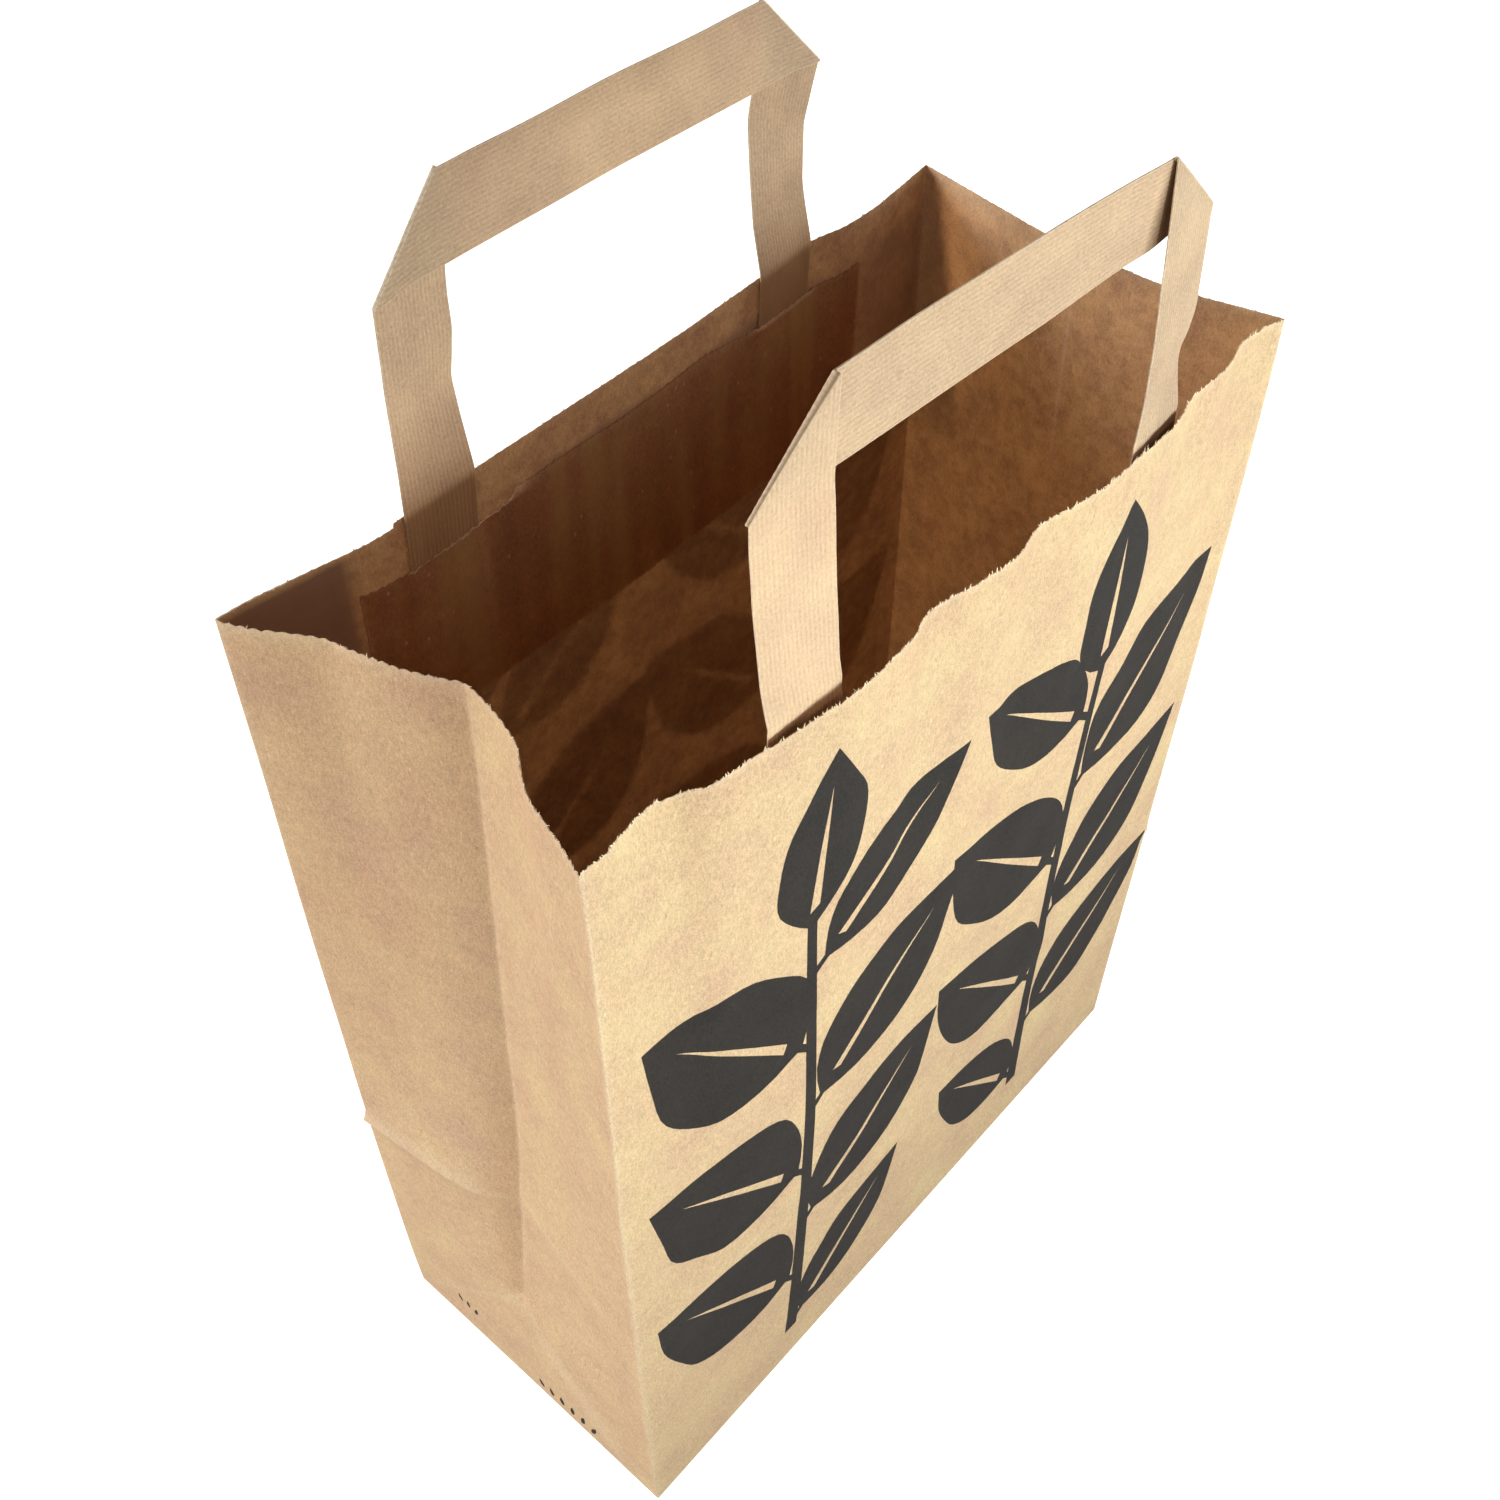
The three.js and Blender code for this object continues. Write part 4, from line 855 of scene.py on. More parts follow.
        # no free point close to a fixed one
        cell = {}
        for q in fixed:
            cell.setdefault((int(q[0] // 1.0), int(q[1] // 1.0)), []).append(q)
        clear = []
        for q in free:
            a, b = int(q[0] // 1.0), int(q[1] // 1.0)
            if not any((q[0] - r[0]) ** 2 + (q[1] - r[1]) ** 2 < 0.72 for x in (a - 1, a, a + 1) for y in (b - 1, b, b + 1) for r in cell.get((x, y), ())):
                clear.append(q)
        pts = [Vector((float(q[0]), float(q[1]))) for q in np.concatenate([fixed, np.array(clear)])]
        at = len(edge_pts)
        faces, edges = [list(range(at))], []
        for line in lines:
            edges += [(at + k, at + k + 1) for k in range(len(line) - 1)]
            at += len(line)
        for q in polys:
            faces.append(list(range(at, at + len(q))))
            at += len(q)
        v2, _, tri, from_v, _, from_f = delaunay_2d_cdt(pts, edges, faces, 1, 1e-5, True)
        v2 = np.array([tuple(v) for v in v2])
        n_in = len(edge_pts)
        ids = np.full(len(v2), -1)
        for k, src in enumerate(from_v):
            for s in src:
                if s < n_in:
                    ids[k] = edge_ids[s]
        new = np.nonzero(ids < 0)[0]
        u, z = v2[new, 0], v2[new, 1]
        place = sheet_point(p, u, z) + sheet_normal(p, u, z) * SHEET / 2
        w = wear(HALF[p] - np.abs(u), np.abs(z - fold_height[p](u)), np.minimum(1, fold_size[p](u)), z)
        if p in "RL":
            w = np.maximum(w, (0.24 if p == "L" else 0.36) * np.exp(-(((u + 0.5) / 0.8) ** 2)) * ease((z - APEX) / 20))
            w = np.maximum(w, 0.22 * np.exp(-(((1 - np.abs(u) / HD - z / APEX) * 37 / 0.9) ** 2)) * (z < APEX))
        stain = 0 * u
        if p == "L":
            under_fold = fold_height[p](u) - z
            # painted highlight just above the flat-folding crease
            w = np.maximum(w, 0.42 * np.exp(-(((under_fold + 2.2) / 2.8) ** 2)) * ease((u - 6) / 8))
            low = (1 - np.abs(u) / HD - z / APEX) * 37
            # painted light: a paler band just inside the foot diagonal on the front half
            w = np.maximum(w, 0.34 * np.exp(-(((low - 5) / 5) ** 2)) * (low > 0) * ease((-u) / 8) * ease((u + 40) / 10))
            # painted shade: darker over the upper back half, in a band beside the middle crease, and just below the
            # flat-folding crease
            stain = 0.85 * ease((z - 105) / 70) * ease((u + 3) / 6) * (0.8 + 0.35 * noise(u / 14, z / 22, 61))
            stain = np.maximum(stain, 0.9 * np.exp(-(((u - 3.5) / 5.5) ** 2)) * ease((z - 52) / 5) * ease((185 - z) / 50) * (u > 0))
            stain = np.maximum(stain, 0.75 * ease(under_fold / 1.2) * np.exp(-np.maximum(0, under_fold) / 9) * ease((u - 4) / 8))
        thin = 0 * u
        if p == "R":
            thin = 0.8 + 0 * u
        ids[new] = m.add(place, wear=w, show=0.0, stain=clamp01(stain), thin=thin)
        n_fill = len(filled)
        slot = np.array([1 if any(1 <= f <= n_fill for f in src) and not any(f > n_fill for f in src) else 0 for src in from_f])
        t = ids[np.array([list(f) for f in tri])]
        m.tris(t if p in "FR" else t[:, ::-1], slot)

    # cut edge of the mouth: shallow scallops, torn in places, with tufts of fibre standing up from it
    slope = (mid[-1] - mid[-2]) / (heights[-1] - heights[-2])[:, None]
    pos, nrm, thick, tuft, mark, run = [], [], [], [], [0], 0.0
    for i in range(RING):
        k = (i + 1) % RING
        p, a = ring_panel[i], ring_u[i]
        b = ring_u[k] if ring_panel[k] == p else {"F": HW, "R": HD, "B": -HW, "L": -HD}[p]
        n = max(1, int(round(abs(b - a) / 0.32)))
        t = np.arange(n) / n
        u = a + (b - a) * t
        s = run + abs(b - a) * t
        run += abs(b - a)
        phase = s / 2.4 + 0.25 * noise(s / 17, 0.0, 71)
        tooth = 1 - np.abs(np.sin(np.pi * phase))
        size = {"F": 0.2, "R": 0.10, "B": 0.11, "L": 0.50}[p] * (1 + 0.35 * noise(s / 3.1, 0.0, 72))
        torn = {"F": 1.0, "R": 0.08, "B": 0.12}[p] if p != "L" else 0.2 + 0.7 * ease((-10 - u) / 12)
        rough = 0.16 * (1 + noise(s / 0.6, 0.0, 73)) + 0.27 * (1 + noise(s / 1.7, 0.0, 76)) + 0.7 * np.maximum(0, noise(s / 5.5, 0.0, 74) - 0.25)
        z = cut_edge(p, u) - size * tooth - torn * rough
        tuft.append(np.broadcast_to(torn, z.shape))
        here = lerp(mid[-1, i], mid[-1, k], t[:, None]) + lerp(slope[i], slope[k], t[:, None]) * (z - TOP_ROW)[:, None]
        here[:, 2] = z
        pos.append(here)
        nrm.append(unit(lerp(normal[-1, i], normal[-1, k], t[:, None])))
        thick.append(np.full(n, inner[i]))
        mark.append(mark[-1] + n)
    pos, nrm, thick = np.concatenate(pos), np.concatenate(nrm), np.concatenate(thick)
    fuzz = 1 + 0.35 * noise(np.arange(len(pos)) * 0.63, 0.0, 75)[:, None]
    rim_out = m.add(pos + nrm * SHEET / 2 * fuzz, wear=0.36, show=0.0)
    rim_in = m.add(pos - nrm * thick[:, None] * fuzz, wear=0.36, show=0.0)
    m.comb(out_ids[-1], rim_out, mark, slot=0)
    m.comb(in_ids[-1], rim_in, mark, flip=True, slot=2)
    a, b = rim_out, np.roll(rim_out, -1)
    c, d = np.roll(rim_in, -1), rim_in
    rng = np.random.default_rng(77)
    tuft = np.concatenate(tuft)
    stands = rng.random(len(pos)) < 0.10 + 0.46 * tuft ** 2
    flat_ = ~stands
    m.tris(np.concatenate([np.stack([a, b, c], -1)[flat_], np.stack([a, c, d], -1)[flat_]]), 3)
    along = unit(np.roll(pos, -1, 0) - pos)
    tall = rng.gamma(2.0, 0.23, len(pos)) * (0.45 + 0.55 * tuft) + 0.10
    tip = (pos + np.roll(pos, -1, 0)) / 2 + along * rng.normal(0, 0.32, len(pos))[:, None]
    tip = tip + nrm * rng.normal(0.05, 0.22, len(pos))[:, None] + np.array([0, 0, 1.0]) * np.minimum(tall, 1.6)[:, None]
    e = m.add(tip[stands], wear=0.9, show=0.0)
    a, b, c, d = a[stands], b[stands], c[stands], d[stands]
    m.tris(np.concatenate([np.stack(q, -1) for q in ((a, b, e), (b, c, e), (c, d, e), (d, a, e))]), 3)

    # block bottom: flaps folded in and glued, seen from below and from inside
    step_h = 0.26

    def flap_back(x, y):
        return np.minimum(y + HD - (DEPTH - FLAP), (HW - HD + y - np.abs(x)) * math.sqrt(0.5))

    def flap_front(x, y):
        return np.minimum(FLAP - HD - y, (HW - HD - y - np.abs(x)) * math.sqrt(0.5))

    on = lambda d: clamp01(d / 0.36 + 0.5)
    reach = HW - FLAP

    def under(x, y):
        return (1 - on(flap_back(x, y))) * (2 - on(flap_front(x, y))) * step_h

    def floor_top(x, y):
        g = on(np.abs(x) - reach)
        f = on(FLAP - HD - y)
        return SHEET + step_h * (g * 2.6 + (1 - g) * f * 1.3)

    tip = FLAP - HD
    e = 0.19
    cuts_under, cuts_top = [], []
    for o in (-0.8, -e, e, 0.8):
        cuts_under.append([(-reach + 1, -tip + o), (reach - 1, -tip + o)])
        for sx in (-1, 1):
            cuts_under.append([(sx * (reach + 1.5), -tip + 1.5 + o * 1.41), (sx * (HW - 4), HD - 4 + o * 1.41)])
            cuts_under.append([(sx * (HW - 4), -HD + 4 + o * 1.41), (sx * (HW - HD + 0.6), -0.6 + o * 1.41)])
            cuts_top.append([(sx * (reach + o), -HD + 3), (sx * (reach + o), HD - 3)])
        cuts_top.append([(-reach + 0.6, tip + o), (reach - 0.6, tip + o)])
    for ids, cuts, height, flip, slot, low in (
        (out_ids[0], cuts_under, under, True, 0, 0.0),
        (in_ids[FOOT_ROWS - 1], cuts_top, floor_top, False, 2, None),
    ):
        # laid out on the plain rectangle; the outline keeps its own points in the sheet
        across = np.select([ring_panel == "R", ring_panel == "L"], [HW, -HW], ring_u)
        along = np.select([ring_panel == "F", ring_panel == "B"], [-HD, HD], ring_u)
        pts = [Vector((float(x), float(y))) for x, y in zip(across, along)]
        edges, segs = [], []
        for a, b in cuts:
            a, b = np.array(a, float), np.array(b, float)
            n = max(2, int(np.linalg.norm(b - a) / 2.0))
            k0 = len(pts)
            pts += [Vector(tuple(lerp(a, b, t))) for t in np.linspace(0, 1, n)]
            edges += [(k0 + k, k0 + k + 1) for k in range(n - 1)]
            segs.append((a, b))
        gx, gy = np.meshgrid(np.arange(-HW + 3, HW - 2, 3.4), np.arange(-HD + 3, HD - 2, 3.4))
        for x, y in zip(gx.ravel(), gy.ravel()):
            if all(float(segment(np.float64(x), np.float64(y), a, b)[0]) > 1.0 for a, b in segs):
                pts.append(Vector((float(x), float(y))))
        v2, _, tri, from_v, _, from_f = delaunay_2d_cdt(pts, edges, [list(range(len(ids)))], 1, 1e-5, True)
        v2 = np.array([tuple(v) for v in v2])
        got = np.full(len(v2), -1)
        for k, src in enumerate(from_v):
            for s in src:
                if s < len(ids):
                    got[k] = ids[s]
        new = np.nonzero(got < 0)[0]
        x, y = v2[new, 0], v2[new, 1]
        z = height(x, y)
        # pale cut edges of the flaps, and painted shade beside them
        if flip:
            seen = ((flap_back(x, y), 1.0), (flap_front(x, y), 1 - on(flap_back(x, y))))
        else:
            seen = ((np.abs(x) - reach, 0.6), (FLAP - HD - y, 0.6 * (1 - on(np.abs(x) - reach))))
        edge = np.max([k * np.exp(-(((d - e) / 0.25) ** 2)) for d, k in seen], 0)
        beside = np.max([k * np.exp(-(((d + e) / 0.3) ** 2)) for d, k in seen], 0)
        got[new] = m.add(np.stack([x, y, z], -1), wear=0.8 * edge, show=0.0, stain=beside)
        t = got[np.array([list(f) for f, src in zip(tri, from_f) if 0 in src])]
        m.tris(t[:, ::-1] if flip else t, slot)
    return m.make("paper_bag_body", [outside, black, inside, cut])


# ------------------------------------------------------------------ handles
# Each leg: height and X of its outer edge, then height and depth Y of its outer and of its inner edge.
LEGS = {
    "FL": dict(
        side=-1, gap=0.85, edge=[(230, -66.6), (281, -65.2), (BAR_LOW, -63.8)],
        outer=[(281, -50.4), (285, -49.3), (290, -48.2), (304, -46.3), (318, -44.9), (BAR_LOW, -44.7)],
        inner=[(281, -50.9), (285.4, -49.9), (301, -48.2), (318, -46.7), (BAR_LOW, -46.0)],
    ),
    "FR": dict(
        side=1, gap=0.3, lift=2.2, edge=[(230, 64.0), (281, 64.8), (BAR_LOW, 66.2)],
        outer=[(281, -52.3), (287.4, -50.7), (291.2, -49.9), (294.4, -49.8), (298, -50.7), (304, -51.3), (BAR_LOW, -49.9)],
        inner=[(281, -54.0), (292, -54.2), (300, -53.8), (306, -53.6), (319, -52.3), (BAR_LOW, -52.1)],
    ),
    "BL": dict(
        side=-1, gap=0.1, edge=[(230, -69.2), (281, -68.2), (BAR_LOW, -63.8)],
        outer=[(281, 43.0), (291, 43.8), (304, 45.3), (315, 46.2), (BAR_LOW, 46.8)],
        inner=[(281, 44.5), (291, 47.1), (299.8, 49.6), (305, 48.9), (311, 48.3), (318, 49.2), (BAR_LOW, 49.4)],
    ),
    "BR": dict(
        side=1, gap=0.1, edge=[(230, 62.3), (281, 62.9), (BAR_LOW, 64.8)],
        outer=[(281, 48.0), (291, 50.8), (295, 51.7), (309, 52.1), (BAR_LOW, 48.9)],
        inner=[(281, 47.9), (292, 49.4), (304.7, 51.0), (316.6, 52.0), (BAR_LOW, 51.0)],
    ),
}
BARS = {
    "F": [(-63.8, -44.1), (-44, -45.2), (-20, -45.9), (0, -46.6), (20, -47.5), (35, -48.6), (46.6, -49.7), (56, -49.8), (66.2, -49.3)],
    "B": [(-63.8, 46.2), (-44, 47.3), (0, 47.9), (40, 48.2), (64.8, 48.3)],
}
BAR_UP = {"F": 0.0, "B": 1.0}
FOLD_SPACE = 0.61  # between the middles of the two layers of a corner fold
LEG_OFF = 0.395  # middle of a glued leg from the middle of the panel
# painted light and shade along each tape, from one end to the other
PAINTED_LIGHT_AND_SHADE = {
    "F": [(0, 1.04), (0.28, 1.04), (0.36, 0.87), (0.64, 0.87), (0.70, 0.87), (0.76, 0.80), (1, 0.76)],
    "B": [(0, 1.0), (0.14, 1.0), (0.18, 0.98), (0.26, 0.83), (0.36, 0.80), (0.5, 0.94), (0.62, 0.86), (0.74, 0.78), (0.82, 0.86), (1, 0.95)],
}
RIB = 1.09


def strip_mesh(m, grid, thick, slot_edge, extra, extra_low):
    """Closes a strip of paper round the points on its middle: grid[row, column]."""
    across = np.gradient(grid, axis=1)
    on = np.gradient(grid, axis=0)
    n = unit(np.cross(across, on))
    top = m.add((grid + n * thick[..., None]).reshape(-1, 3), **extra).reshape(grid.shape[:2])
    low = m.add((grid - n * thick[..., None]).reshape(-1, 3), **extra_low).reshape(grid.shape[:2])
    m.grid(top)
    m.grid(low, flip=True)
    for a, b, flip in (
        (top[:, 0], low[:, 0], False), (top[:, -1], low[:, -1], True), (top[0], low[0], True), (top[-1], low[-1], False),
    ):
        m.grid(np.stack([a, b]), flip=not flip, slot=slot_edge)


def handle(name, panel, inward, left, right, rise, seed):
    ribs = int(round(TAPE_WIDTH / RIB))
    c = np.linspace(0, 1, ribs * 4 + 1)
    c = np.sort(np.concatenate([c, [0.004, 0.010, 0.990, 0.996]]))
    legs = {}
    for key in (left, right):
        l = dict(LEGS[key])
        l["top"] = l["edge"][-1][1]
        for k in ("edge", "outer", "inner"):
            l[k + "_at"] = bent(l[k])
        l["space"] = FOLD_SPACE + l["gap"] * c * c
        l["fold_z"] = BAR_LOW + BAR_UP[panel] * (0.3 + 0.45 * c) + TAPE_WIDTH * c + l.get("lift", 0.0) * (1 - c)
        legs[key] = l
    ends = legs[left]["top"], legs[right]["top"]
    bar_line = through(BARS[panel])

    def below(l, x, z):
        return np.maximum(0, (l["side"] * (l["top"] - x) - (z - BAR_LOW)) / math.sqrt(2))

    def bar_y(x, z=None):
        y = bar_line(x) + 0.2 * noise(x / 21, 0.0, seed) * ease((50 - np.abs(x)) / 20)
        if z is not None:
            # the bar curls away from a leg that stands open
            for key, curl in ((left, 0.02), (right, 0.0 if panel == "F" else 0.03)):
                d = below(legs[key], x, z)
                y = y + inward * curl * np.where(d < 12, d, 12 * (1 - ease((d - 12) / 20)))
            if panel == "F":
                # its lower edge turns back beside the open leg
                y = y + inward * 1.6 * clamp01((BAR_LOW + TAPE_WIDTH - z) / TAPE_WIDTH) * ease((x - 8) / 40)
        return y

    def leg_point(l, z):
        z = np.broadcast_to(np.asarray(z, float), c.shape)
        x = l["edge_at"](z) - l["side"] * TAPE_WIDTH * c
        low = np.minimum(z, HEIGHT - 0.4)
        u = 2 * x - sheet_point(panel, x, low)[:, 0]
        on = sheet_point(panel, u, low)[:, 1]
        rim_x = l["edge_at"](np.full_like(c, 281.0)) - l["side"] * TAPE_WIDTH * c
        rim = sheet_point(panel, rim_x, np.full_like(c, HEIGHT - 0.4))[:, 1]
        free_at = lambda q: lerp(l["outer_at"](q), l["inner_at"](q), c)
        away = inward * (free_at(np.full_like(c, 281.0)) - rim)
        held = np.maximum(LEG_OFF + 0.45, away)
        fold = bar_y(l["top"] - l["side"] * TAPE_WIDTH * c) - inward * l["space"]
        free = free_at(np.minimum(z, BAR_LOW)) + inward * (held - away) * clamp01((292 - z) / 11)
        free = lerp(free, fold, clamp01((z - BAR_LOW + 1.5) / np.maximum(1.5, TAPE_WIDTH * c + 1.5)))
        glued = on + inward * lerp(LEG_OFF, held, ease((z - 262) / 19))
        y = np.where(z < 281, glued, free)
        soft = 0.09 * noise(z / 7 + 3 * l["side"], c * 2.4, seed + 4) * ease((z - 284) / 12) * ease((318 - z) / 12)
        return np.stack([x, y + soft, z], -1)

    def bend(l):
        out = []
        for deg in np.linspace(0, 180, 9):
            a = math.radians(deg)
            x = l["top"] - l["side"] * TAPE_WIDTH * c
            o = np.minimum(l["space"], 0.9) / 2 * math.sin(a) / math.sqrt(2)
            out.append(np.stack([x + l["side"] * o, bar_y(x) - inward * l["space"] * (1 + math.cos(a)) / 2, l["fold_z"] + o], -1))
        return out

    def leg(l):
        out = [leg_point(l, z) for z in np.linspace(LEG_END, 313, 72)]
        out += [leg_point(l, lerp(313, l["fold_z"], t)) for t in np.linspace(0, 1, 19)[1:-1]]
        return out

    lift = lambda x: rise * np.cos(np.pi * clamp01(np.abs(x) / 66) / 2)

    def bar(x, up=0.0):
        free = np.maximum(0, np.minimum(x - ends[0], ends[1] - x) - TAPE_WIDTH * c)
        raised = 0.3 + 0.45 * c + ease(free / 10) * (1.15 - c)
        z = BAR_LOW + BAR_UP[panel] * raised + TAPE_WIDTH * c + up
        return np.stack([x, bar_y(x, z), z + lift(x) - lift(np.float64(60.0))], -1)

    # the bar runs on under each leg as far as the fold
    under = np.array([0.0, 0.03, 0.08, 0.16, 0.25, 0.35, 0.46, 0.57, 0.68, 0.79, 0.9])
    under_r = under
    if panel == "F":
        under_r = np.array([0.0, 0.05, 0.105, 0.12, 0.2, 0.3, 0.42, 0.54, 0.66, 0.78, 0.9])
    clear = [ends[0] + TAPE_WIDTH + 0.35 * c, ends[1] - TAPE_WIDTH - 0.35 * c]
    tucked = [bar(lerp(clear[0], ends[0] + TAPE_WIDTH * c, t)) for t in under][::-1]
    tucked_r = [bar(lerp(clear[1], ends[1] - TAPE_WIDTH * c, t), legs[right].get("lift", 0.0) * (1 - c) * t) for t in under_r]
    grid = leg(legs[left]) + bend(legs[left])
    first_bar = len(grid)
    grid += tucked
    grid += [bar(lerp(clear[0], -30.0 + 0 * c, t)) for t in np.linspace(0, 1, 12)[1:-1]]
    grid += [bar(np.full_like(c, x)) for x in np.linspace(-30, 30, 41)]
    grid += [bar(lerp(30.0 + 0 * c, clear[1], t)) for t in np.linspace(0, 1, 24)[1:-1]]
    last_bar = len(grid)
    grid += tucked_r
    grid += bend(legs[right])[::-1] + leg(legs[right])[::-1]
    grid = np.array(grid)

    run = np.concatenate([[0], np.cumsum(np.linalg.norm(np.diff(grid[:, len(c) // 2], axis=0), axis=1))])
    S, C = np.meshgrid(run, c * TAPE_WIDTH, indexing="ij")
    edge = np.minimum(C, TAPE_WIDTH - C)
    soft = np.sqrt(np.maximum(0.0, 1 - (1 - np.minimum(1, edge / 0.24)) ** 2)) * 0.62 + 0.38
    size = 0.024 * (1 + 0.5 * noise(C / RIB, 0.0, seed + 8))
    rib = size * np.cos(2 * math.pi * C / RIB) * ease(edge / 0.5) + 0.012 * noise(S / 6, C / 1.4, seed + 9)
    thick = TAPE / 2 * soft + rib
    fold_rows = np.zeros(len(run))
    n_leg = 72 + 17
    fold_rows[n_leg + 1:n_leg + 8] = 1
    fold_rows[-(n_leg + 8):-(n_leg + 1)] = 1
    # pale tape edges, partly painted highlight, and a painted highlight line along the back handle's folds
    worn_and_lit = np.maximum(0.8 * np.exp(-((edge / 0.28) ** 2)), (0.65 if panel == "F" else 1.5) * fold_rows[:, None])
    # the plies part along the fold, and painted light and shade makes some lengths lighter or darker than others
    split = np.zeros(len(run))
    if panel == "F":
        split[n_leg + 2] = 1
        split[n_leg + 3] = 0.6
        split[-(n_leg + 3)] = 0.5
    total = run[-1]
    tone = np.interp(run / total, *zip(*PAINTED_LIGHT_AND_SHADE[panel]))[:, None] + 0 * C
    # painted shade in the folds, and painted shadow where a leg goes in beside the panel
    fold_shade = np.zeros(len(run))
    depth = np.concatenate([[0.0, 0.7], np.ones(len(under) - 2)])
    fold_shade[first_bar:first_bar + len(under)] = depth[::-1]
    if panel == "F":
        depth = np.concatenate([[0.0, 0.0, 0.0, 0.9], np.ones(len(under) - 4)])
    fold_shade[last_bar:last_bar + len(under)] = depth
    fold_shade = fold_shade[:, None] + 0 * C
    # a band of painted shade in the bar beside the open leg, standing in for a soft crease
    crease_shade = np.zeros(len(run))
    if panel == "F":
        crease_shade[last_bar - 5:last_bar + 4] = [-0.2, -0.5, -0.6, 0.3, 1.0, 1.0, 1.0, 1.0, 1.0]
    crease_shade = crease_shade[:, None] * ease((1 - c) * 2.2)[None, :]
    split = split[:, None] + 0 * C
    # painted shadow on the legs just below the panel's top edge
    low_end = 1 - ease((grid[:, len(c) // 2, 2] - 279.4) / 1.6)[:, None] + 0 * C
    if panel == "F":
        to_right = np.where((np.arange(len(run)) < len(run) / 2)[:, None], c[None, :], 1 - c[None, :])
        low_end = 1 - ease((grid[..., 2] - 278.6 + 2.3 * to_right) / 0.7)
    common = dict(tape=np.stack([C, S, 0 * C], -1).reshape(-1, 3), wear=worn_and_lit.ravel())
    if panel == "F":
        m_out = dict(tone=(tone * (1 - 0.6 * low_end)).ravel(), split=np.maximum(split, 0.6 * low_end).ravel())
        m_in = dict(tone=(tone * (1 - 0.7 * fold_shade) * (1 - 0.12 * crease_shade)).ravel(), split=np.maximum(split, fold_shade).ravel())
    else:
        # painted shade tinted with warm bounce light on the glued ends, and a painted shadow line along the outer edge
        # of the left one
        rim = low_end * np.exp(-((C / 0.45) ** 2)) * (np.arange(len(run)) < len(run) / 2)[:, None]
        common["damp"] = low_end.ravel()
        m_out = dict(tone=(tone * (1 - 0.7 * fold_shade)).ravel(), split=np.maximum(split, fold_shade).ravel())
        m_in = dict(tone=(tone * (1 - 0.8 * rim)).ravel(), split=np.maximum(split, rim).ravel())
    m = Mesh()
    strip_mesh(m, grid, thick, 0, common | m_out, common | m_in)
    return m.make(name, [ribbed], 40)


# ------------------------------------------------------------------ reinforcing patches
# Top edge of the back patch, which was torn off unevenly.
PATCH_TOP = {
    "F": [(-81, 0.0), (81, 0.0)],
    "B": [
        (-81, 0.6), (-72, -0.6), (-64, -0.9), (-44, -0.7), (-39.2, -0.4), (-37.8, 1.6), (-12, 1.5), (7, 2.1), (24, 2.6), (33, 1.4), (38, 0.2), (81, 0.0),
    ],
}
# How much pale torn fibre shows along it, partly a painted highlight where the edge catches light.
PATCH_PALE_AND_HIGHLIGHT = {
    "F": [(-81, 0.4), (81, 0.4)],
    "B": [
        (-81, 0.15), (-70, 0.15), (-67.5, 1.1), (-58, 1.3), (-52, 0.9), (-46, 1.8), (-43, 1.2), (-40, 1.9), (-36, 1.7), (-33, 0.5), (-28, 0.2), (38, 0.2), (42, 0.9), (63, 0.9), (66, 0.2), (81, 0.2),
    ],
}


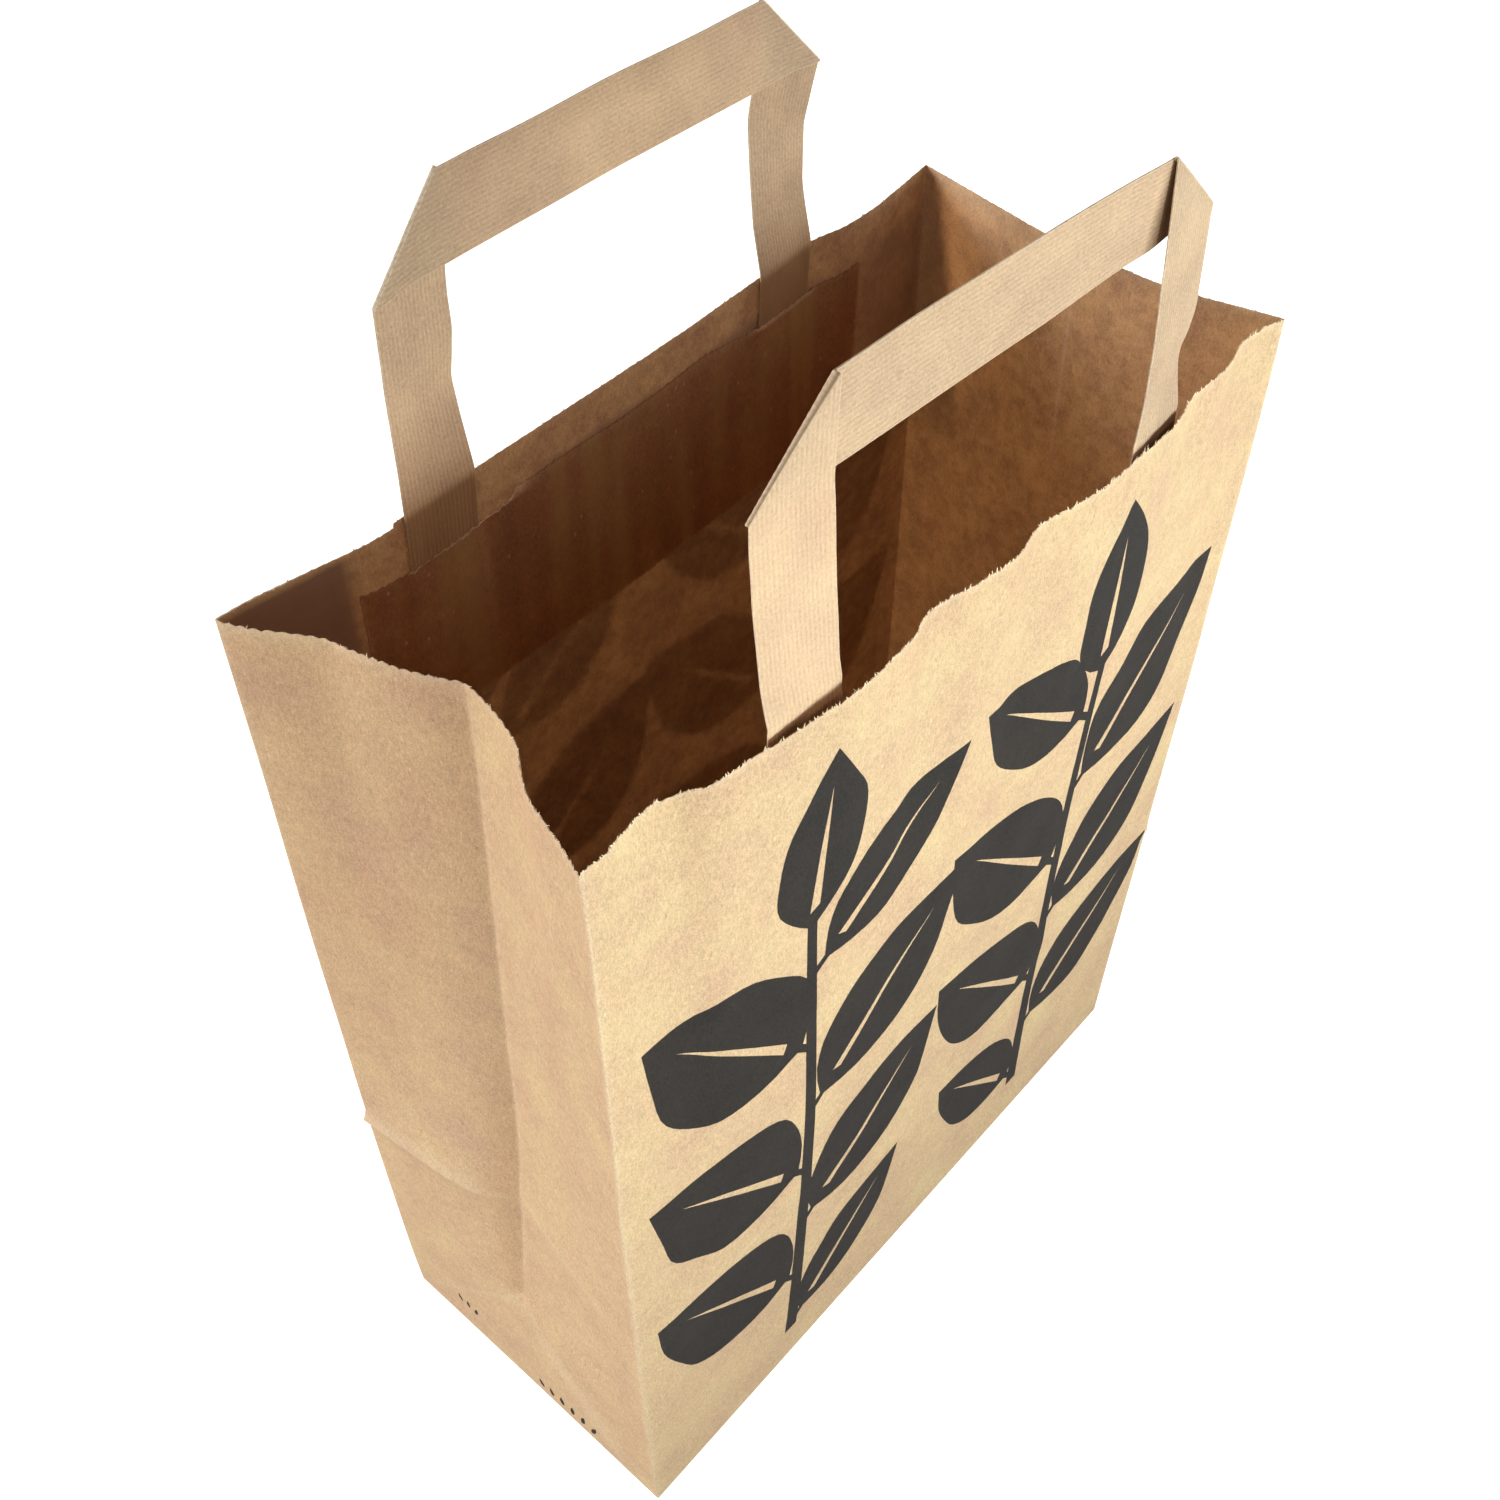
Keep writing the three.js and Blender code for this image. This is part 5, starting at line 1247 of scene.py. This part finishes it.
def patch(name, panel, inward, left, right, seed):
    near, over = SHEET + 0.06, LEG_OFF + TAPE / 2 + 0.05 + SHEET / 2
    spans = [sorted((GLUED[k][0], GLUED[k][2])) for k in (left, right)]
    slope = 2.6

    def height(u, z):
        side = 0
        for a, b in spans:
            side = np.maximum(side, np.minimum(ease((u - a) / slope + 1), ease((b - u) / slope + 1)))
        return lerp(near, over, np.minimum(side, ease((z - (LEG_END - 3)) / 2.6)))

    def point(u, z):
        q = sheet_point(panel, u, z)
        q[..., 1] += inward * height(u, z)
        return q

    u = np.arange(-PATCH_X, PATCH_X + 0.01, 1.15)
    u = np.linspace(-PATCH_X, PATCH_X, len(u))
    z = np.linspace(PATCH_LOW + 1.4, PATCH_HIGH - 1.4, 36)
    m = Mesh()
    faces = []
    for side in (-1, 1):
        shift = np.array([0, inward * side * SHEET / 2, 0])
        U, Z = np.meshgrid(u, z)
        wear = 0.35 * np.exp(-(((PATCH_X - np.abs(U)) / 0.8) ** 2))
        ids = m.add((point(U, Z) + shift).reshape(-1, 3), wear=wear.ravel()).reshape(U.shape)
        runs = []
        for base, way, sd in ((PATCH_LOW + 0.2, -1, seed), (PATCH_HIGH - 0.2, 1, seed + 3)):
            n = 3
            t = np.linspace(0, len(u) - 1, (len(u) - 1) * n + 1)
            uu = np.interp(t, np.arange(len(u)), u)
            phase = uu / 2.25 + 0.3 * noise(uu / 15, 0.0, sd)
            tooth = np.abs(2 * (phase - np.floor(phase)) - 1)
            zz = base + way * (0.3 - 0.55 * tooth - 0.14 * noise(uu / 0.6, 0.0, sd + 1) + 0.35 * noise(uu / 26, 0.0, sd + 2))
            if way > 0:
                zz = zz + np.interp(uu, *zip(*PATCH_TOP[panel]))
            pale = 0.3 + 0 * uu
            if way > 0:
                pale = np.interp(uu, *zip(*PATCH_PALE_AND_HIGHLIGHT[panel]))
                torn = 0.5 + 0.3 * noise(uu / 0.9, 0.0, sd + 5)
                runs.append(m.add(point(uu, zz - torn) + shift, wear=pale * 0.85))
            runs.append(m.add(point(uu, zz) + shift, wear=pale))
        faces.append((ids, runs))
    mark = [k * 3 for k in range(len(u))]
    for (ids, (low, torn, high)), flip in zip(faces, ((inward < 0), (inward > 0))):
        m.grid(ids, flip=flip)
        m.comb(ids[-1], torn, mark, flip=flip)
        m.grid(np.stack([torn, high]), flip=flip)
        m.comb(ids[0], low, mark, flip=not flip)
    (ia, (la, ta, ha)), (ib, (lb, tb, hb)) = faces
    front = inward > 0
    for a, b, flip in (
        (ha, hb, not front), (la, lb, front),
        (np.concatenate([la[:1], ia[:, 0], ta[:1], ha[:1]]), np.concatenate([lb[:1], ib[:, 0], tb[:1], hb[:1]]), not front),
        (np.concatenate([la[-1:], ia[:, -1], ta[-1:], ha[-1:]]), np.concatenate([lb[-1:], ib[:, -1], tb[-1:], hb[-1:]]), front),
    ):
        m.grid(np.stack([a, b]), flip=flip, slot=0)
    return m.make(name, [glued], 40)


bag = body()
front_handle = handle("tape_handle_front", "F", 1, "FL", "FR", 0.25, 131)
back_handle = handle("tape_handle_back", "B", -1, "BL", "BR", 0.06, 151)
front_patch = patch("handle_end_patch_front", "F", 1, "FL", "FR", 171)
back_patch = patch("handle_end_patch_back", "B", -1, "BL", "BR", 191)

for piece, node, slot in (
    (bag, "bag_body", "body_kraft"),
    (front_handle, "handle_front", "handle_tape"),
    (back_handle, "handle_back", "handle_tape"),
    (front_patch, "handle_patch_front", "patch_kraft"),
    (back_patch, "handle_patch_back", "patch_kraft"),
):
    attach(piece, "root")
    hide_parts(node)


# ------------------------------------------------------------------ floor, light, camera
def studio_floor():
    m = Tree("studio_floor")
    where = m.node("TexCoord").outputs["Object"]
    soft = m.noise(where, 14.0, 1.0, 0.5)
    base = m.mix(soft, (0.56, 0.56, 0.555), (0.58, 0.58, 0.575))
    skin = m.node("BsdfPrincipled", None, Base_Color=base, Roughness=0.9, Specular_IOR_Level=0.1, Emission_Color=(1, 1, 1, 1), Emission_Strength=0.80)
    mat = m.finish(skin.outputs[0])
    me = bpy.data.meshes.new("studio_floor")
    s, n = 4.0, 8
    xs = np.linspace(-s, s, n + 1)
    pts = [(float(x), float(y), -0.0004) for y in xs for x in xs]
    faces = [(j * (n + 1) + i, j * (n + 1) + i + 1, (j + 1) * (n + 1) + i + 1, (j + 1) * (n + 1) + i) for j in range(n) for i in range(n)]
    me.from_pydata(pts, [], faces)
    me.materials.append(mat)
    ob = bpy.data.objects.new("studio_floor", me)
    bpy.context.scene.collection.objects.link(ob)
    ob.visible_diffuse = ob.visible_glossy = ob.visible_shadow = False  # the light from below is set with the world


def area(name, place, target, size, power, colour=(1, 1, 1)):
    d = bpy.data.lights.new(name, "AREA")
    d.shape, d.size, d.size_y = "RECTANGLE", size[0], size[1]
    d.energy, d.color = power, colour
    ob = bpy.data.objects.new(name, d)
    ob.location = place
    ob.rotation_mode = "QUATERNION"
    ob.rotation_quaternion = (Vector(target) - Vector(place)).to_track_quat("-Z", "Y")
    bpy.context.scene.collection.objects.link(ob)
    return ob


studio_floor()
area("front_box", (0.09, -0.37, 0.24), (0.09, 0.0, 0.24), (0.8, 0.08), 3.2, (0.88, 1.0, 1.0))
area("left_fill", (-0.42, 0.0, 0.07), (-0.11, 0.03, 0.07), (0.30, 0.10), 0.36)
area("left_back_box", (-0.84, 0.93, 0.68), (0.0, 0.0, 0.15), (0.9, 0.7), 20.0)
area("right_back_box", (1.1, 0.12, 0.45), (0.0, 0.0, 0.2), (0.6, 0.5), 14.0)

world = bpy.data.worlds.new("studio")
world.use_nodes = True
wt = world.node_tree
wt.nodes.clear()
w_out = wt.nodes.new("ShaderNodeOutputWorld")
w_bg = wt.nodes.new("ShaderNodeBackground")
w_co = wt.nodes.new("ShaderNodeTexCoord")
w_sep = wt.nodes.new("ShaderNodeSeparateXYZ")
w_rng = wt.nodes.new("ShaderNodeMapRange")
w_rng.interpolation_type = "SMOOTHSTEP"
for k, v in (("From Min", 0.05), ("From Max", 0.60), ("To Min", 0.86), ("To Max", 0.05)):
    w_rng.inputs[k].default_value = v
wt.links.new(w_co.outputs["Generated"], w_sep.inputs[0])
wt.links.new(w_sep.outputs[2], w_rng.inputs["Value"])
w_low = wt.nodes.new("ShaderNodeMapRange")
w_low.interpolation_type = "SMOOTHSTEP"
for k, v in (("From Min", -0.35), ("From Max", 0.02), ("To Min", 0.80), ("To Max", 1.0)):
    w_low.inputs[k].default_value = v
wt.links.new(w_sep.outputs[2], w_low.inputs["Value"])
w_mul = wt.nodes.new("ShaderNodeMath")
w_mul.operation = "MULTIPLY"
wt.links.new(w_rng.outputs[0], w_mul.inputs[0])
wt.links.new(w_low.outputs[0], w_mul.inputs[1])
wt.links.new(w_mul.outputs[0], w_bg.inputs["Strength"])
w_bg.inputs["Color"].default_value = (1, 1, 1, 1)
wt.links.new(w_bg.outputs[0], w_out.inputs[0])
bpy.context.scene.world = world

scene = bpy.context.scene
scene.view_settings.view_transform = "Standard"
scene.view_settings.look = "None"
scene.view_settings.exposure = 0.0
scene.view_settings.gamma = 1.0
scene.cycles.max_bounces, scene.cycles.diffuse_bounces, scene.cycles.glossy_bounces, scene.cycles.transmission_bounces = 8, 4, 2, 6
scene.cycles.caustics_reflective = scene.cycles.caustics_refractive = False

# Camera fitted to the corners of the bag and its handles.
az, el, roll = math.radians(-48.303), math.radians(47.5), math.radians(-0.233)
back = Vector((math.sin(az) * math.cos(el), -math.cos(az) * math.cos(el), math.sin(el)))
r = Vector((0, 0, 1)).cross(back).normalized()
up = back.cross(r)
cx = math.cos(roll) * r + math.sin(roll) * up
cy = -math.sin(roll) * r + math.cos(roll) * up
cam_data = bpy.data.cameras.new("camera")
cam_data.sensor_fit = "HORIZONTAL"
cam_data.sensor_width = 36.0
cam_data.lens = 36.0 * 1707.2 / 1500
cam_data.clip_start, cam_data.clip_end = 0.01, 50.0
camera = bpy.data.objects.new("camera", cam_data)
camera.matrix_world = Matrix((
    (cx.x, cy.x, back.x, -0.21919), (cx.y, cy.y, back.y, -0.18323), (cx.z, cy.z, back.z, 0.49899), (0, 0, 0, 1),
))
scene.collection.objects.link(camera)
scene.camera = camera
